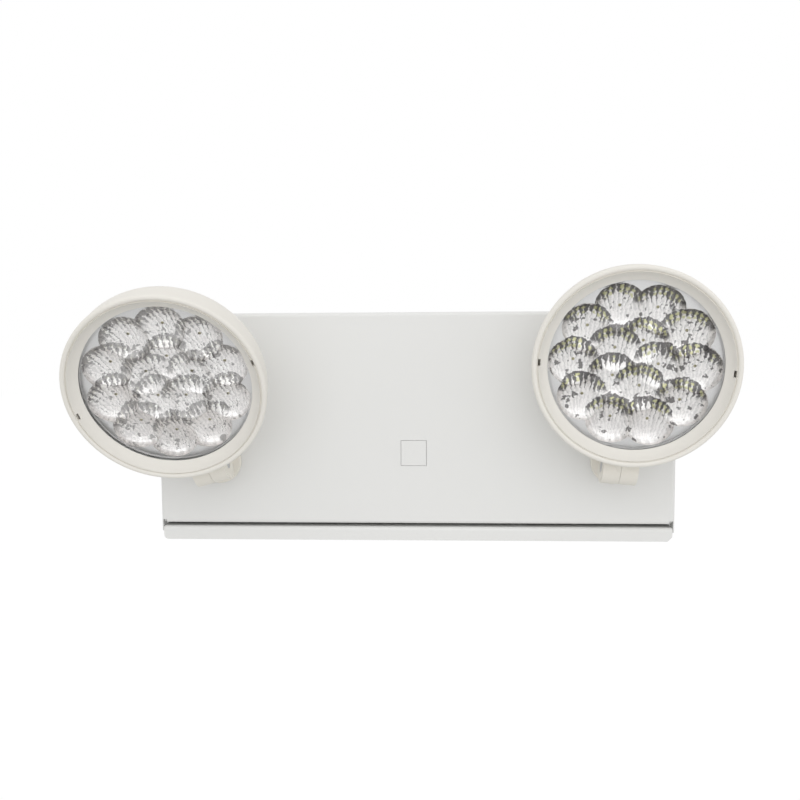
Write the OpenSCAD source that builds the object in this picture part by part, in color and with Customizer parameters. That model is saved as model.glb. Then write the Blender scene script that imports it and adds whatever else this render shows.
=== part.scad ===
// Two-head emergency light in a folded steel case, with two lamp heads on clamp arms.
// The origin is the centre of the wall face at half of the overall height. X runs to the viewer's
// right, Y runs into the wall and Z is up, so the cover faces -Y.

/* [Case] */
// Width over the cover's side flanges
case_w = 305; // [290:1:330]
// Height from the top of the cover to the lower edge of the front strip
case_h = 135.2; // [130:0.1:145]
// Depth from the wall face to the front of the cover
case_d = 88; // [84:1:105]
// Thickness of the steel sheet
sheet_t = 0.9; // [0.7:0.1:1.1]
// Outside radius of the folds
bend_r = 2; // [1.5:0.1:2.5]
// Gap between the cover's flanges and the box
cover_gap = 0.4; // [0.3:0.1:0.5]
// Depth of the cover's top and side flanges
flange_d = 14; // [12:1:18]
// Depth of the cover's lower flange
lower_flange_d = 8; // [7:0.5:9]
// Height of the front strip below the ledge
strip_h = 8; // [7:0.5:9]
// Gap between the cover's lower edge and the ledge
ledge_gap = 2.1; // [2:0.1:3]
// How far the cover's side flanges reach below its lower edge
ear_drop = 5; // [3:0.5:6]
// Side of the square knockout low on the cover
square_side = 14.8; // [12:0.1:18]
// Gap round each knockout
knockout_gap = 0.2; // [0.15:0.05:0.3]

/* [Cover hinge] */
// Hinge axis behind the cover's face
hinge_back = 5; // [4.5:0.1:5.5]
// Hinge axis above the cover's lower edge
hinge_up = 3.5; // [3.4:0.1:5]
// Diameter of the hinge pins
hinge_pin_d = 3; // [2.5:0.1:3.2]
// Diameter of the hinge pins' heads
hinge_head_d = 5; // [4.4:0.1:5]
// Thickness of the hinge pins' heads
hinge_head_t = 1; // [0.8:0.1:1.4]
// Radial play of the hinge pins
hinge_play = 0.05; // [0.03:0.01:0.08]
// Space between the turning cover and the box's side walls
swing_gap = 0.3; // [0.3:0.05:0.5]

/* [Holes in the box] */
// Diameter of the rear wire entry and of the conduit knockouts
entry_d = 22.2; // [20:0.1:24]
// Diameter of the wall screw holes
wall_hole_d = 5.2; // [4:0.1:6.5]
// Distance between the wall screw holes across
wall_hole_w = 276; // [240:1:280]
// Distance between the wall screw holes up and down
wall_hole_h = 90; // [60:1:96]
// Diameter of the junction box screw holes
junction_hole_d = 4.5; // [4:0.1:5]
// Distance between the junction box screw holes
junction_span = 83.3; // [70:0.1:90]

/* [Battery] */
// Width of the battery
battery_w = 70; // [60:1:74]
// Depth of the battery
battery_d = 47; // [40:1:52]
// Height of the battery's block without its terminals
battery_h = 100; // [90:1:104]
// Space between the battery and the box's left side
battery_side_gap = 26.3; // [22:0.1:28]
// Space between the battery and the box's rear wall
battery_back_gap = 0.7; // [0.4:0.1:2]
// Distance between the battery's two terminals
battery_tab_span = 44; // [36:1:48]
// Radius of the battery's upright edges
battery_edge_r = 3; // [1:0.5:5]
// Width of the battery strap
strap_w = 20; // [14:1:26]
// Length of each foot of the strap
strap_foot = 12; // [10:1:14]

/* [Charger board] */
// Width of the charger board
board_w = 88; // [80:1:92]
// Height of the charger board
board_h = 68; // [60:1:70]
// Thickness of the circuit boards
board_t = 1.6; // [1:0.1:2]
// Length of the board's standoffs
standoff_h = 9; // [6:0.5:12]
// Space between the board and the box's right side
board_side_gap = 10.3; // [8:0.1:12]
// Space between the board and the box's top
board_top_gap = 6; // [5:1:8]
// Width across the flats of the standoffs
standoff_af = 5.5; // [5:0.1:6]
// Plugs on the charger board
plug_count = 6; // [4:1:6]
// Distance between the plugs
plug_pitch = 14; // [10:0.5:14]

/* [Transformer] */
// Width of the transformer core
core_w = 48; // [42:1:50]
// Height of the transformer core
core_h = 40; // [34:1:40]
// Stack of the transformer core, front to back
core_stack = 20; // [16:1:24]
// How far the coil stands out of the core, front and back
coil_out = 9; // [7:0.5:10]
// Space between the transformer and the box's right side
core_side_gap = 46.3; // [44:0.1:60]
// Space between the transformer and the box's floor
core_floor_gap = 2; // [1:0.5:4]

/* [Test switch and status lamp] */
// Diameter of the test button
button_d = 7; // [6:0.1:7.5]
// Travel of the test button
button_travel = 1.5; // [1:0.1:2]
// How far the test button stands out below the switch nut
button_out = 3; // [2.5:0.1:3.2]
// Diameter of the switch's threaded neck
switch_neck_d = 10; // [9:0.1:12]
// Radial play of the test button in the neck
button_play = 0.1; // [0.06:0.01:0.2]
// Diameter of the status lamp
lamp_d = 5; // [4:0.1:5.5]
// Distance between the button and the status lamp
button_lamp_span = 22; // [18:1:30]
// Button to the middle of the case
button_x = 18; // [10:1:30]
// Button and status lamp behind the cover's face
button_back = 30; // [24:1:34]

/* [Swivel] */
// Distance of each head's swivel axis from the middle
swivel_x = 116; // [112:1:118]
// Height of the swivel axes, measured from half of the overall height
swivel_z = -20; // [-24:1:-18]
// Distance of the tilt axis in front of the cover
pivot_out = 21; // [21:0.5:25]
// Diameter of the round foot on the cover
foot_d = 26; // [22:1:28]
// Thickness of the round foot
foot_t = 1.8; // [1.2:0.1:2.2]
// Diameter of the hollow stem
stem_d = 12; // [11.4:0.1:12.6]
// Bore of the stem for the lead
stem_bore_d = 6; // [5:0.1:6.4]
// Diameter of the eye that the arm's screw goes through
eye_d = 10; // [9.4:0.1:10.4]
// Height of the flat bar behind the eye
eye_bar_h = 8.6; // [8:0.1:8.8]
// Radial play of the tilt and swivel joints
joint_play = 0.08; // [0.05:0.01:0.1]

/* [Arm] */
// Diameter of the arm's barrel round the tilt axis
barrel_d = 19; // [18:0.5:20]
// Width of the arm over its two halves
arm_w = 19.5; // [19:0.5:21]
// Depth of the arm's neck block
arm_d = 16; // [14:0.5:16]
// Diameter of the arm's cross screw
arm_screw_d = 4; // [3.5:0.1:4.2]
// Outside diameter of the arm's hollow neck
neck_d = 11; // [10.5:0.1:11.5]
// Bore of the hollow neck
neck_bore_d = 6; // [5:0.1:6.5]
// Diameter of the flange that holds the head
neck_flange_d = 16; // [15:0.5:16]
// Thickness of that flange
neck_flange_t = 1.5; // [1.2:0.1:1.6]

/* [Head shell] */
// Outside diameter of a head over its bezel
head_d = 110; // [109:0.5:111]
// Depth of a head
head_depth = 29.5; // [28.5:0.1:31]
// Wall of the head shell
shell_t = 2; // [1.6:0.1:2.2]
// Radius of the shell's rounded back edge
shell_round = 17.5; // [17:0.1:18]
// Step from the bezel in to the shell
shell_step = 1; // [0.6:0.1:1.4]
// Tilt axis to the head's centre line
head_up = 61.3; // [61:0.1:62]
// Tilt axis behind the bezel's front
head_forward = 19.5; // [19:0.1:20]
// Height of the pan joint above the tilt axis
pan_up = 6.7; // [6.6:0.1:6.8]

/* [Bezel and lens] */
// Depth of the bezel's visible rim
bezel_rim_d = 3; // [2.6:0.1:3.4]
// Width of the bezel's rounded lip
bezel_lip_w = 2.9; // [2.6:0.1:3.2]
// Diameter of the lens that shows
lens_view_d = 93; // [92:0.1:94]
// Depth of the lens behind the bezel's front
lens_back = 6.4; // [6.2:0.1:6.6]
// Thickness of the lens
lens_t = 2; // [1.6:0.1:2.2]
// Length of the two slots in the bezel
slot_l = 3.8; // [3:0.1:5]
// Width of the two slots
slot_w = 1.6; // [1.2:0.1:1.8]

/* [Optics] */
// Cups in the outer ring
outer_cups = 10; // [8:1:10]
// Cups in the inner ring
inner_cups = 5; // [4:1:5]
// Radius of the outer ring
outer_ring_r = 32; // [31:0.5:33]
// Radius of the inner ring
inner_ring_r = 12.5; // [12:0.5:13.5]
// Front diameter of an outer cup
outer_cup_d = 19; // [17:0.5:19]
// Front diameter of an inner cup
inner_cup_d = 14; // [12:0.5:14]
// Depth of a cup
cup_depth = 9.3; // [8:0.1:9.5]
// Side of a light chip's package
chip_side = 3.5; // [3:0.1:4]

/* [Head positions] */
// Right head turned on the cover, counter-clockwise as seen from the front
right_swivel = -5.3; // [-20:0.1:20]
// Right head tipped forward
right_tilt = 9.3; // [2:0.1:40]
// Right head turned on its arm
right_pan = -3.9; // [-8:0.1:8]
// Left head turned on the cover
left_swivel = 15.9; // [-20:0.1:20]
// Left head tipped forward
left_tilt = 22.7; // [2:0.1:40]
// Left head turned on its arm
left_pan = -3.9; // [-8:0.1:8]
// How far the bezels are turned in their shells
bezel_turn = 2.5; // [0:0.1:5]

/* [Hidden] */
$fn = 96;
left = -1;
right = 1;
over = 1;
seat_gap = 0.1;

// Places of the case, worked out from its sizes
top_z = case_h / 2;
strip_low_z = -case_h / 2;
ledge_z = strip_low_z + strip_h;
cover_low_z = ledge_z + ledge_gap;
ear_low_z = cover_low_z - ear_drop;
face_y = -case_d;
face_back_y = face_y + sheet_t;
box_w = case_w - 2 * (sheet_t + cover_gap);
box_top_z = top_z - sheet_t - cover_gap;
box_front_y = face_back_y + cover_gap;
inner_w = box_w - 2 * sheet_t;
inner_top_z = box_top_z - sheet_t;
hinge_y = face_y + hinge_back;
hinge_z = cover_low_z + hinge_up;
lower_flange_w = inner_w - 4 * cover_gap;
fold_in_r = bend_r - sheet_t;
square_x = -0.3;
square_z = -15.2;

// A rectangle whose two corners on the high-x side are rounded
module folded_outline(x0, x1, y0, y1, r) {
    translate([x0, y0]) square([x1 - x0 - r, y1 - y0]);
    translate([x0, y0 + r]) square([x1 - x0, y1 - y0 - 2 * r]);
    for (y = [y0 + r, y1 - r])
        translate([x1 - r, y]) circle(r);
}

// A block from y = 0 towards -Y, with its edges at y = 0 rounded
module folded_block(w, d, z0, z1, r) {
    intersection() {
        rotate([90, 0, 90]) linear_extrude(w, center = true) folded_outline(-d, 0, z0, z1, r);
        translate([0, 0, z0]) linear_extrude(z1 - z0) rotate(90) folded_outline(-d, 0, -w / 2, w / 2, r);
    }
}

// A folded angle with its outer corner at the origin and its legs along +x and +y
module folded_angle(leg_x, leg_y, t, r) {
    difference() {
        union() {
            translate([r, 0]) square([leg_x - r, leg_y]);
            translate([0, r]) square([leg_x, leg_y - r]);
            translate([r, r]) circle(r);
        }
        translate([r, t]) square([leg_x, leg_y]);
        translate([t, r]) square([leg_x, leg_y]);
        translate([r, r]) circle(r - t);
    }
}

module along_x() rotate([90, 0, 90]) children();
module along_y() rotate([-90, 0, 0]) children();
module rod_x(d, x0, x1) translate([x0, 0, 0]) rotate([0, 90, 0]) cylinder(d = d, h = x1 - x0);
module rod_y(d, y0, y1) translate([0, y0, 0]) rotate([-90, 0, 0]) cylinder(d = d, h = y1 - y0);
module rod_z(d, z0, z1) translate([0, 0, z0]) cylinder(d = d, h = z1 - z0);
module centred_box(w, d, h) translate([-w / 2, -d / 2, 0]) cube([w, d, h]);

// Smooth points of a lead's route
function route_point(p, i, u) =
    let (a = p[max(i - 1, 0)], b = p[i], c = p[i + 1], d = p[min(i + 2, len(p) - 1)])
    0.5 * (2 * b + (c - a) * u + (2 * a - 5 * b + 4 * c - d) * u * u
        + (3 * b - a - 3 * c + d) * u * u * u);
function smooth_route(p, n) =
    concat([for (i = [0:len(p) - 2]) for (k = [0:n - 1]) route_point(p, i, k / n)], [p[len(p) - 1]]);
function unit(v) = v / norm(v);
function tangents(p) =
    [for (i = [0:len(p) - 1]) unit(p[min(i + 1, len(p) - 1)] - p[max(i - 1, 0)])];
function carried(n, t) = unit(n - (n * t) * t);
function normals(t, i, out) = i == len(t) ? out : normals(t, i + 1, concat(out, [carried(out[i - 1], t[i])]));

// A round tube swept along a route; its ends are flat and square to the route
lead_sides = 8;
rings_per_point = 2;
module lead(route, d) {
    p = smooth_route(route, rings_per_point);
    t = tangents(p);
    start = abs(t[0][2]) < 0.9 ? [0, 0, 1] : [0, 1, 0];
    n = normals(t, 1, [carried(start, t[0])]);
    last = len(p) - 1;
    rim = [for (i = [0:last]) for (k = [0:lead_sides - 1])
        let (a = 360 * k / lead_sides) p[i] + d / 2 * (cos(a) * n[i] + sin(a) * cross(t[i], n[i]))];
    walls = [for (i = [0:last - 1]) for (k = [0:lead_sides - 1])
        let (m = (k + 1) % lead_sides, a = i * lead_sides)
        [a + k, a + lead_sides + k, a + lead_sides + m, a + m]];
    ends = [[for (k = [0:lead_sides - 1]) k],
        [for (k = [lead_sides - 1:-1:0]) last * lead_sides + k]];
    polyhedron(rim, concat(walls, ends));
}

// Case

strip_corner_share = 0.34;
corner_r = strip_h * strip_corner_share;
switch_z = ledge_z - sheet_t;
switch_y = face_y + button_back;
clip_d = lamp_d + 4 * sheet_t;
clip_neck_d = lamp_d + 2 * sheet_t;
lamp_x = button_x + button_lamp_span;
knockout_y = -case_d / 2;
screw_d = 3;
screw_head_share = 1.9;
screw_head_d = screw_d * screw_head_share;
screw_thick_share = 0.7;
screw_head_t = screw_d * screw_thick_share;
screw_top_share = 0.8;
cross_long_share = 0.6;
cross_wide_share = 0.3;

module strip_profile() {
    reach = box_front_y - face_y + over;
    translate([face_y, ledge_z]) mirror([0, 1]) folded_angle(reach, strip_h, sheet_t, bend_r);
}

module strip_corner_cuts() {
    x = box_w / 2;
    // Rounded left corner
    translate([-x, face_y + over + sheet_t, strip_low_z]) rotate([90, 0, 0]) linear_extrude(sheet_t + 2 * over)
        difference() {
            translate([-over, -over]) square(corner_r + over);
            translate([corner_r, corner_r]) circle(corner_r);
        }
    // Clipped right corner
    translate([x, face_y + over + sheet_t, strip_low_z]) rotate([90, 0, 0]) linear_extrude(sheet_t + 2 * over)
        polygon([[-corner_r, -over], [over, -over], [over, corner_r], [0, corner_r], [-corner_r, 0]]);
}

module box_knockout_places() {
    translate([0, knockout_y, box_top_z - sheet_t]) children();
    for (s = [left, right])
        translate([s * (box_w / 2 - (s > 0 ? sheet_t : 0)), knockout_y, knockout_z])
            rotate([0, 90, 0]) children();
}
knockout_z = top_z / 3;

module wall_hole_places() {
    for (x = [-1, 1]) for (z = [-1, 1])
        translate([x * wall_hole_w / 2, 0, z * wall_hole_h / 2]) children();
}

module junction_hole_places() {
    for (x = [-1, 1])
        translate([x * junction_span / 2, 0, 0]) children();
}

// Room in the side walls' lower front corners for the cover's sheet as it turns
module swing_cuts() {
    reach = hinge_up - bend_r + swing_gap;
    keep_r = hinge_back - sheet_t - swing_gap;
    along_x() linear_extrude(box_w + 2 * over, center = true) difference() {
        translate([box_front_y - over, ledge_z])
            square([hinge_y + reach - box_front_y + over, hinge_z - ledge_z]);
        translate([hinge_y, hinge_z]) circle(keep_r);
        translate([hinge_y, hinge_z - keep_r]) square([case_d, keep_r + over]);
    }
}

module back_box() {
    color([0.88, 0.88, 0.87]) difference() {
        union() {
            difference() {
                folded_block(box_w, -box_front_y, ledge_z - sheet_t, box_top_z, bend_r);
                translate([0, -sheet_t, 0])
                    folded_block(inner_w, case_d, ledge_z, inner_top_z, fold_in_r);
            }
            along_x() linear_extrude(box_w, center = true) strip_profile();
        }
        strip_corner_cuts();
        swing_cuts();
        rod_y(entry_d, -sheet_t - over, over);
        wall_hole_places() rod_y(wall_hole_d, -sheet_t - over, over);
        junction_hole_places() rod_y(junction_hole_d, -sheet_t - over, over);
        box_knockout_places() rod_z(entry_d, -over, sheet_t + over);
        translate([0, hinge_y, hinge_z]) rod_x(hinge_pin_d + 2 * hinge_play, -case_w, case_w);
        translate([button_x, switch_y, 0]) rod_z(switch_neck_d + 2 * seat_gap, switch_z - over, ledge_z + over);
        translate([lamp_x, switch_y, 0]) rod_z(clip_neck_d + 2 * seat_gap, switch_z - over, ledge_z + over);
        translate([earth_x, 0, earth_z]) rod_y(screw_d, -sheet_t - over, over);
        translate([battery_x, 0, strap_z]) strap_screw_places() rod_y(screw_d, -sheet_t - over, over);
        board_screw_places() rod_y(screw_d, -sheet_t - over, over);
    }
}

module box_knockouts() {
    color([0.86, 0.86, 0.85]) box_knockout_places() rod_z(entry_d - 2 * knockout_gap, 0, sheet_t);
}

module pan_screw(d, length, head_d, head_t) {
    rod_y(d, 0, length);
    rotate([-90, 0, 0]) difference() {
        translate([0, 0, -head_t]) cylinder(d1 = head_d * screw_top_share, d2 = head_d, h = head_t);
        translate([0, 0, -head_t - over]) for (a = [0, 90]) rotate(a)
            centred_box(head_d * cross_long_share, head_t * cross_wide_share, over + head_t / 2);
    }
}

earth_x = -junction_span / 2 + entry_d / 4;
earth_z = -entry_d;
module earth_screw() {
    color([0.2, 0.55, 0.3]) translate([earth_x, -sheet_t - seat_gap, earth_z])
        pan_screw(screw_d - 2 * seat_gap, sheet_t, screw_head_d, screw_head_t);
}

// Supply terminal block on the floor of the box, beside the battery
battery_x = -inner_w / 2 + battery_side_gap + battery_w / 2;
terminal_count = 3;
terminal_pitch = 10;
terminal_d = 18;
terminal_h = 16;
terminal_side_gap = 12.35;
terminal_x = battery_x + battery_w / 2 + terminal_side_gap + terminal_pitch * terminal_count / 2;
screw_well_share = 0.5;
screw_well_low_share = 0.6;
wire_hole_share = 0.4;
wire_hole_up_share = 0.3;
module supply_terminals() {
    w = terminal_pitch * terminal_count;
    color([0.93, 0.92, 0.88]) translate([terminal_x, knockout_y, ledge_z + seat_gap]) difference() {
        centred_box(w, terminal_d, terminal_h);
        for (i = [0:terminal_count - 1]) {
            translate([terminal_pitch * (i - (terminal_count - 1) / 2), 0, 0]) {
                rod_z(terminal_pitch * screw_well_share, terminal_h * screw_well_low_share, terminal_h + over);
                translate([0, 0, terminal_h * wire_hole_up_share])
                    rod_y(terminal_pitch * wire_hole_share, -terminal_d, -terminal_d / 4);
            }
        }
    }
}

// Battery

battery_y = -sheet_t - battery_back_gap - battery_d / 2;
battery_low_z = ledge_z + seat_gap;
battery_top_z = battery_low_z + battery_h;
lid_h = 6;
tab_w = 4.8;
tab_t = 0.8;
tab_h = 6.4;
strap_place_share = 0.6;
strap_z = battery_low_z + battery_h * strap_place_share;
tab_well_share = 1.8;
tab_hole_share = 0.35;
tab_hole_up_share = 0.6;
tab_x = battery_tab_span / 2;

module rounded_prism(w, d, h, r) {
    translate([-w / 2 + r, -d / 2, 0]) cube([w - 2 * r, d, h]);
    translate([-w / 2, -d / 2 + r, 0]) cube([w, d - 2 * r, h]);
    for (x = [-1, 1]) for (y = [-1, 1])
        translate([x * (w / 2 - r), y * (d / 2 - r), 0]) cylinder(r = r, h = h);
}

module battery() {
    color([0.22, 0.22, 0.24]) translate([battery_x, battery_y, battery_low_z]) difference() {
        union() {
            rounded_prism(battery_w, battery_d, battery_h - lid_h, battery_edge_r);
            translate([0, 0, battery_h - lid_h - over]) rounded_prism(battery_w - battery_edge_r,
                battery_d - battery_edge_r, lid_h + over, battery_edge_r);
        }
        for (x = [-1, 1])
            translate([x * tab_x, 0, battery_h - lid_h / 2])
                centred_box(tab_w * tab_well_share, tab_w * tab_well_share, lid_h);
    }
}

module battery_terminals() {
    for (x = [-1, 1])
        color([0.75, 0.76, 0.78])
            translate([battery_x + x * tab_x, battery_y, battery_top_z - lid_h / 2 + seat_gap]) difference() {
                union() {
                    centred_box(tab_w, tab_t, tab_h + lid_h / 2);
                    centred_box(tab_w, tab_w, tab_t);
                }
                translate([0, 0, lid_h / 2 + tab_h * tab_hole_up_share])
                    rod_y(tab_w * tab_hole_share, -tab_w, tab_w);
            }
}

module strap_screw_places() {
    for (x = [-1, 1])
        translate([x * (battery_w / 2 + seat_gap + sheet_t + strap_foot / 2), 0, 0]) children();
}

module battery_strap() {
    w = battery_w + 2 * seat_gap;
    front = battery_y - battery_d / 2 - seat_gap;
    color([0.78, 0.79, 0.8]) translate([battery_x, 0, strap_z - strap_w / 2]) difference() {
        union() {
            translate([-w / 2 - sheet_t, front - sheet_t, 0]) cube([w + 2 * sheet_t, sheet_t, strap_w]);
            for (s = [left, right]) {
                translate([s > 0 ? w / 2 : -w / 2 - sheet_t, front - sheet_t, 0])
                    cube([sheet_t, -front - seat_gap, strap_w]);
                translate([s > 0 ? w / 2 : -w / 2 - sheet_t - strap_foot, -2 * sheet_t - seat_gap, 0])
                    cube([strap_foot + sheet_t, sheet_t, strap_w]);
            }
        }
        translate([0, 0, strap_w / 2]) strap_screw_places() rod_y(screw_d, -case_d, 0);
    }
}

// Charger board

board_x = inner_w / 2 - board_side_gap - board_w / 2;
board_top_z = inner_top_z - board_top_gap;
board_z = board_top_z - board_h / 2;
board_back_y = -sheet_t - seat_gap - standoff_h;
board_front_y = board_back_y - board_t;
hole_side_inset = 4;
hole_end_inset = 14;

module board_screw_places() {
    for (x = [-1, 1]) for (z = [-1, 1])
        translate([board_x + x * (board_w / 2 - hole_side_inset), 0,
            board_z + z * (board_h / 2 - hole_end_inset)]) children();
}

module charger_board() {
    color([0.12, 0.38, 0.2]) difference() {
        translate([board_x - board_w / 2, board_front_y, board_z - board_h / 2])
            cube([board_w, board_t, board_h]);
        board_screw_places() rod_y(screw_d + 2 * seat_gap, -case_d, 0);
    }
}

module board_standoffs() {
    color([0.8, 0.68, 0.35]) board_screw_places() difference() {
        translate([0, -sheet_t - standoff_h, 0]) rotate([-90, 0, 0])
            cylinder(d = standoff_af / cos(30), h = standoff_h - seat_gap, $fn = 6);
        rod_y(screw_d, -case_d, 0);
    }
}

// Six identical screws: two hold the battery strap and four hold the board
box_screw_l = 4;
module box_screws() {
    color([0.62, 0.63, 0.65]) {
        translate([battery_x, -2 * sheet_t - 2 * seat_gap, strap_z]) strap_screw_places()
            pan_screw(screw_d - 2 * seat_gap, box_screw_l, screw_head_d, screw_head_t);
        board_screw_places() translate([0, board_front_y - seat_gap, 0])
            pan_screw(screw_d - 2 * seat_gap, box_screw_l, screw_head_d, screw_head_t);
    }
}

relay_size = [19, 15, 15];
capacitor_d = 12.5;
capacitor_h = 20;
sink_w = 24;
sink_h = 22;
sink_t = 2;
sink_fins = 6;
sink_depth = 14;
plug_h = 8;
plug_d = 9;
plug_wall = 1;
plug_row_share = 0.84;
relay_place_shares = [-0.35, 0.45];
capacitor_place_shares = [[0.1, 0.45], [0.5, 0.45], [0.1, -0.1]];
sink_place_shares = [0.55, -0.2];
vent_long_share = 0.7;
vent_w = 0.3;

module on_board(x_share, z_share) {
    translate([board_x + x_share * board_w / 2, board_front_y - seat_gap, board_z + z_share * board_h / 2])
        children();
}

module board_relay() {
    color([0.15, 0.25, 0.5]) on_board(relay_place_shares[0], relay_place_shares[1])
        translate([-relay_size[0] / 2, -relay_size[1], -relay_size[2] / 2]) cube(relay_size);
}

module board_capacitors() {
    for (place = capacitor_place_shares)
        color([0.16, 0.17, 0.2]) on_board(place[0], place[1]) difference() {
            rod_y(capacitor_d, -capacitor_h, 0);
            translate([0, -capacitor_h - over, 0]) rotate([-90, 0, 0]) for (a = [0, 60, 120]) rotate(a)
                centred_box(capacitor_d * vent_long_share, vent_w, over + vent_w);
        }
}

module board_heat_sink() {
    color([0.62, 0.63, 0.65]) on_board(sink_place_shares[0], sink_place_shares[1]) {
        translate([-sink_w / 2, -sink_t, -sink_h / 2]) cube([sink_w, sink_t, sink_h]);
        for (i = [0:sink_fins - 1])
            translate([-sink_w / 2 + i * (sink_w - sheet_t) / (sink_fins - 1), -sink_depth, -sink_h / 2])
                cube([sheet_t, sink_depth, sink_h]);
    }
}

module board_connectors() {
    for (i = [0:plug_count - 1])
        color([0.92, 0.9, 0.84]) on_board(0, -plug_row_share)
            translate([(i - (plug_count - 1) / 2) * plug_pitch, 0, 0]) difference() {
                translate([-plug_h / 2, -plug_d, -plug_h / 2]) cube([plug_h, plug_d, plug_h]);
                translate([-plug_h / 2 + plug_wall, -plug_d + plug_wall, -plug_h])
                    cube([plug_h - 2 * plug_wall, plug_d - 3 * plug_wall, plug_h]);
            }
}

// Transformer

core_x = inner_w / 2 - core_side_gap - core_w / 2;
core_low_z = ledge_z + core_floor_gap;
core_z = core_low_z + core_h / 2;
core_y = -sheet_t - coil_out - seat_gap - core_stack / 2;
window_share = 0.62;
limb_share = 0.25;
foot_w = 9;

module transformer_core() {
    window_h = core_h * window_share;
    limb = core_w * limb_share;
    window_w = (core_w - limb * 2) / 2;
    foot_t2 = 2 * sheet_t;
    color([0.35, 0.36, 0.38]) {
        translate([core_x - core_w / 2, core_y - core_stack / 2, core_low_z]) difference() {
            cube([core_w, core_stack, core_h]);
            for (x = [limb / 2, core_w - limb / 2 - window_w])
                translate([x, -over, (core_h - window_h) / 2])
                    cube([window_w, core_stack + 2 * over, window_h]);
        }
        // Bent feet that stand the core off the box's rear wall
        for (s = [left, right])
            translate([core_x + s * core_w / 2 - (s > 0 ? 0 : foot_t2),
                core_y - core_stack / 2, core_low_z]) {
                cube([foot_t2, -core_y + core_stack / 2 - sheet_t - seat_gap, core_h]);
                translate([s > 0 ? 0 : foot_t2 - foot_w,
                    -core_y + core_stack / 2 - sheet_t - seat_gap - foot_t2, 0]) cube([foot_w, foot_t2, core_h]);
            }
    }
}

module transformer_coil() {
    window_h = core_h * window_share - 2 * seat_gap;
    limb = core_w * limb_share;
    w = limb + 2 * ((core_w - limb * 2) / 2 - seat_gap);
    d = core_stack + 2 * coil_out;
    color([0.75, 0.55, 0.2]) translate([core_x, core_y, core_z - window_h / 2]) difference() {
        rounded_prism(w, d, window_h, coil_out / 2);
        translate([0, 0, -over])
            centred_box(limb + 2 * seat_gap, core_stack + 2 * seat_gap, window_h + 2 * over);
    }
}

// Test switch, its button and the status lamp, on the box's floor behind the strip

switch_body_w = 12;
switch_body_h = 11;
switch_nut_t = 2;
switch_nut_wall = 2;
dome_share = 0.08;
lamp_flange_share = 1.16;
button_top_gap = 0.3;
button_core_h = 9;
tag_w = 2;
tag_h = 5.6;
clip_t = 1.2;

module test_switch() {
    color([0.3, 0.3, 0.32]) translate([button_x, switch_y, 0]) {
        difference() {
            union() {
                translate([0, 0, ledge_z + seat_gap]) centred_box(switch_body_w, switch_body_w, switch_body_h);
                rod_z(switch_neck_d, switch_z - switch_nut_t, ledge_z + over);
            }
            rod_z(button_d + 2 * button_play, switch_z - switch_nut_t - over, ledge_z + button_core_h);
        }
        for (x = [-1, 1])
            translate([x * switch_body_w / 3, 0, ledge_z + switch_body_h - over])
                centred_box(tag_w, sheet_t, tag_h);
    }
}

module test_switch_nut() {
    color([0.78, 0.78, 0.8]) translate([button_x, switch_y, switch_z - switch_nut_t]) difference() {
        cylinder(d = (switch_neck_d + 2 * switch_nut_wall) / cos(30), h = switch_nut_t - seat_gap, $fn = 6);
        translate([0, 0, -over]) cylinder(d = switch_neck_d + 2 * seat_gap, h = switch_nut_t + 2 * over);
    }
}

module test_button() {
    low = switch_z - switch_nut_t - button_out;
    high = ledge_z + button_core_h - button_travel - button_top_gap;
    dome = button_d * dome_share;
    color([0.75, 0.15, 0.12]) translate([button_x, switch_y, 0]) {
        rod_z(button_d, low + dome, high);
        translate([0, 0, low]) cylinder(d1 = button_d - 2 * dome, d2 = button_d, h = dome);
    }
}

module status_lamp() {
    color([0.85, 0.1, 0.1]) translate([lamp_x, switch_y, 0]) {
        rod_z(lamp_d, switch_z - clip_t + lamp_d / 4, ledge_z + lamp_d);
        translate([0, 0, switch_z - clip_t + lamp_d / 4]) sphere(d = lamp_d);
        translate([0, 0, ledge_z + lamp_d - over]) cylinder(d = lamp_d * lamp_flange_share, h = over);
    }
}

module status_lamp_clip() {
    color([0.1, 0.1, 0.11]) translate([lamp_x, switch_y, 0]) difference() {
        union() {
            rod_z(clip_d, switch_z - clip_t - seat_gap, switch_z - seat_gap);
            rod_z(clip_neck_d, switch_z - clip_t - seat_gap, ledge_z + lamp_d / 2);
        }
        rod_z(lamp_d + 2 * seat_gap, switch_z - case_d, ledge_z + case_d);
    }
}

// Cover

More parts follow.
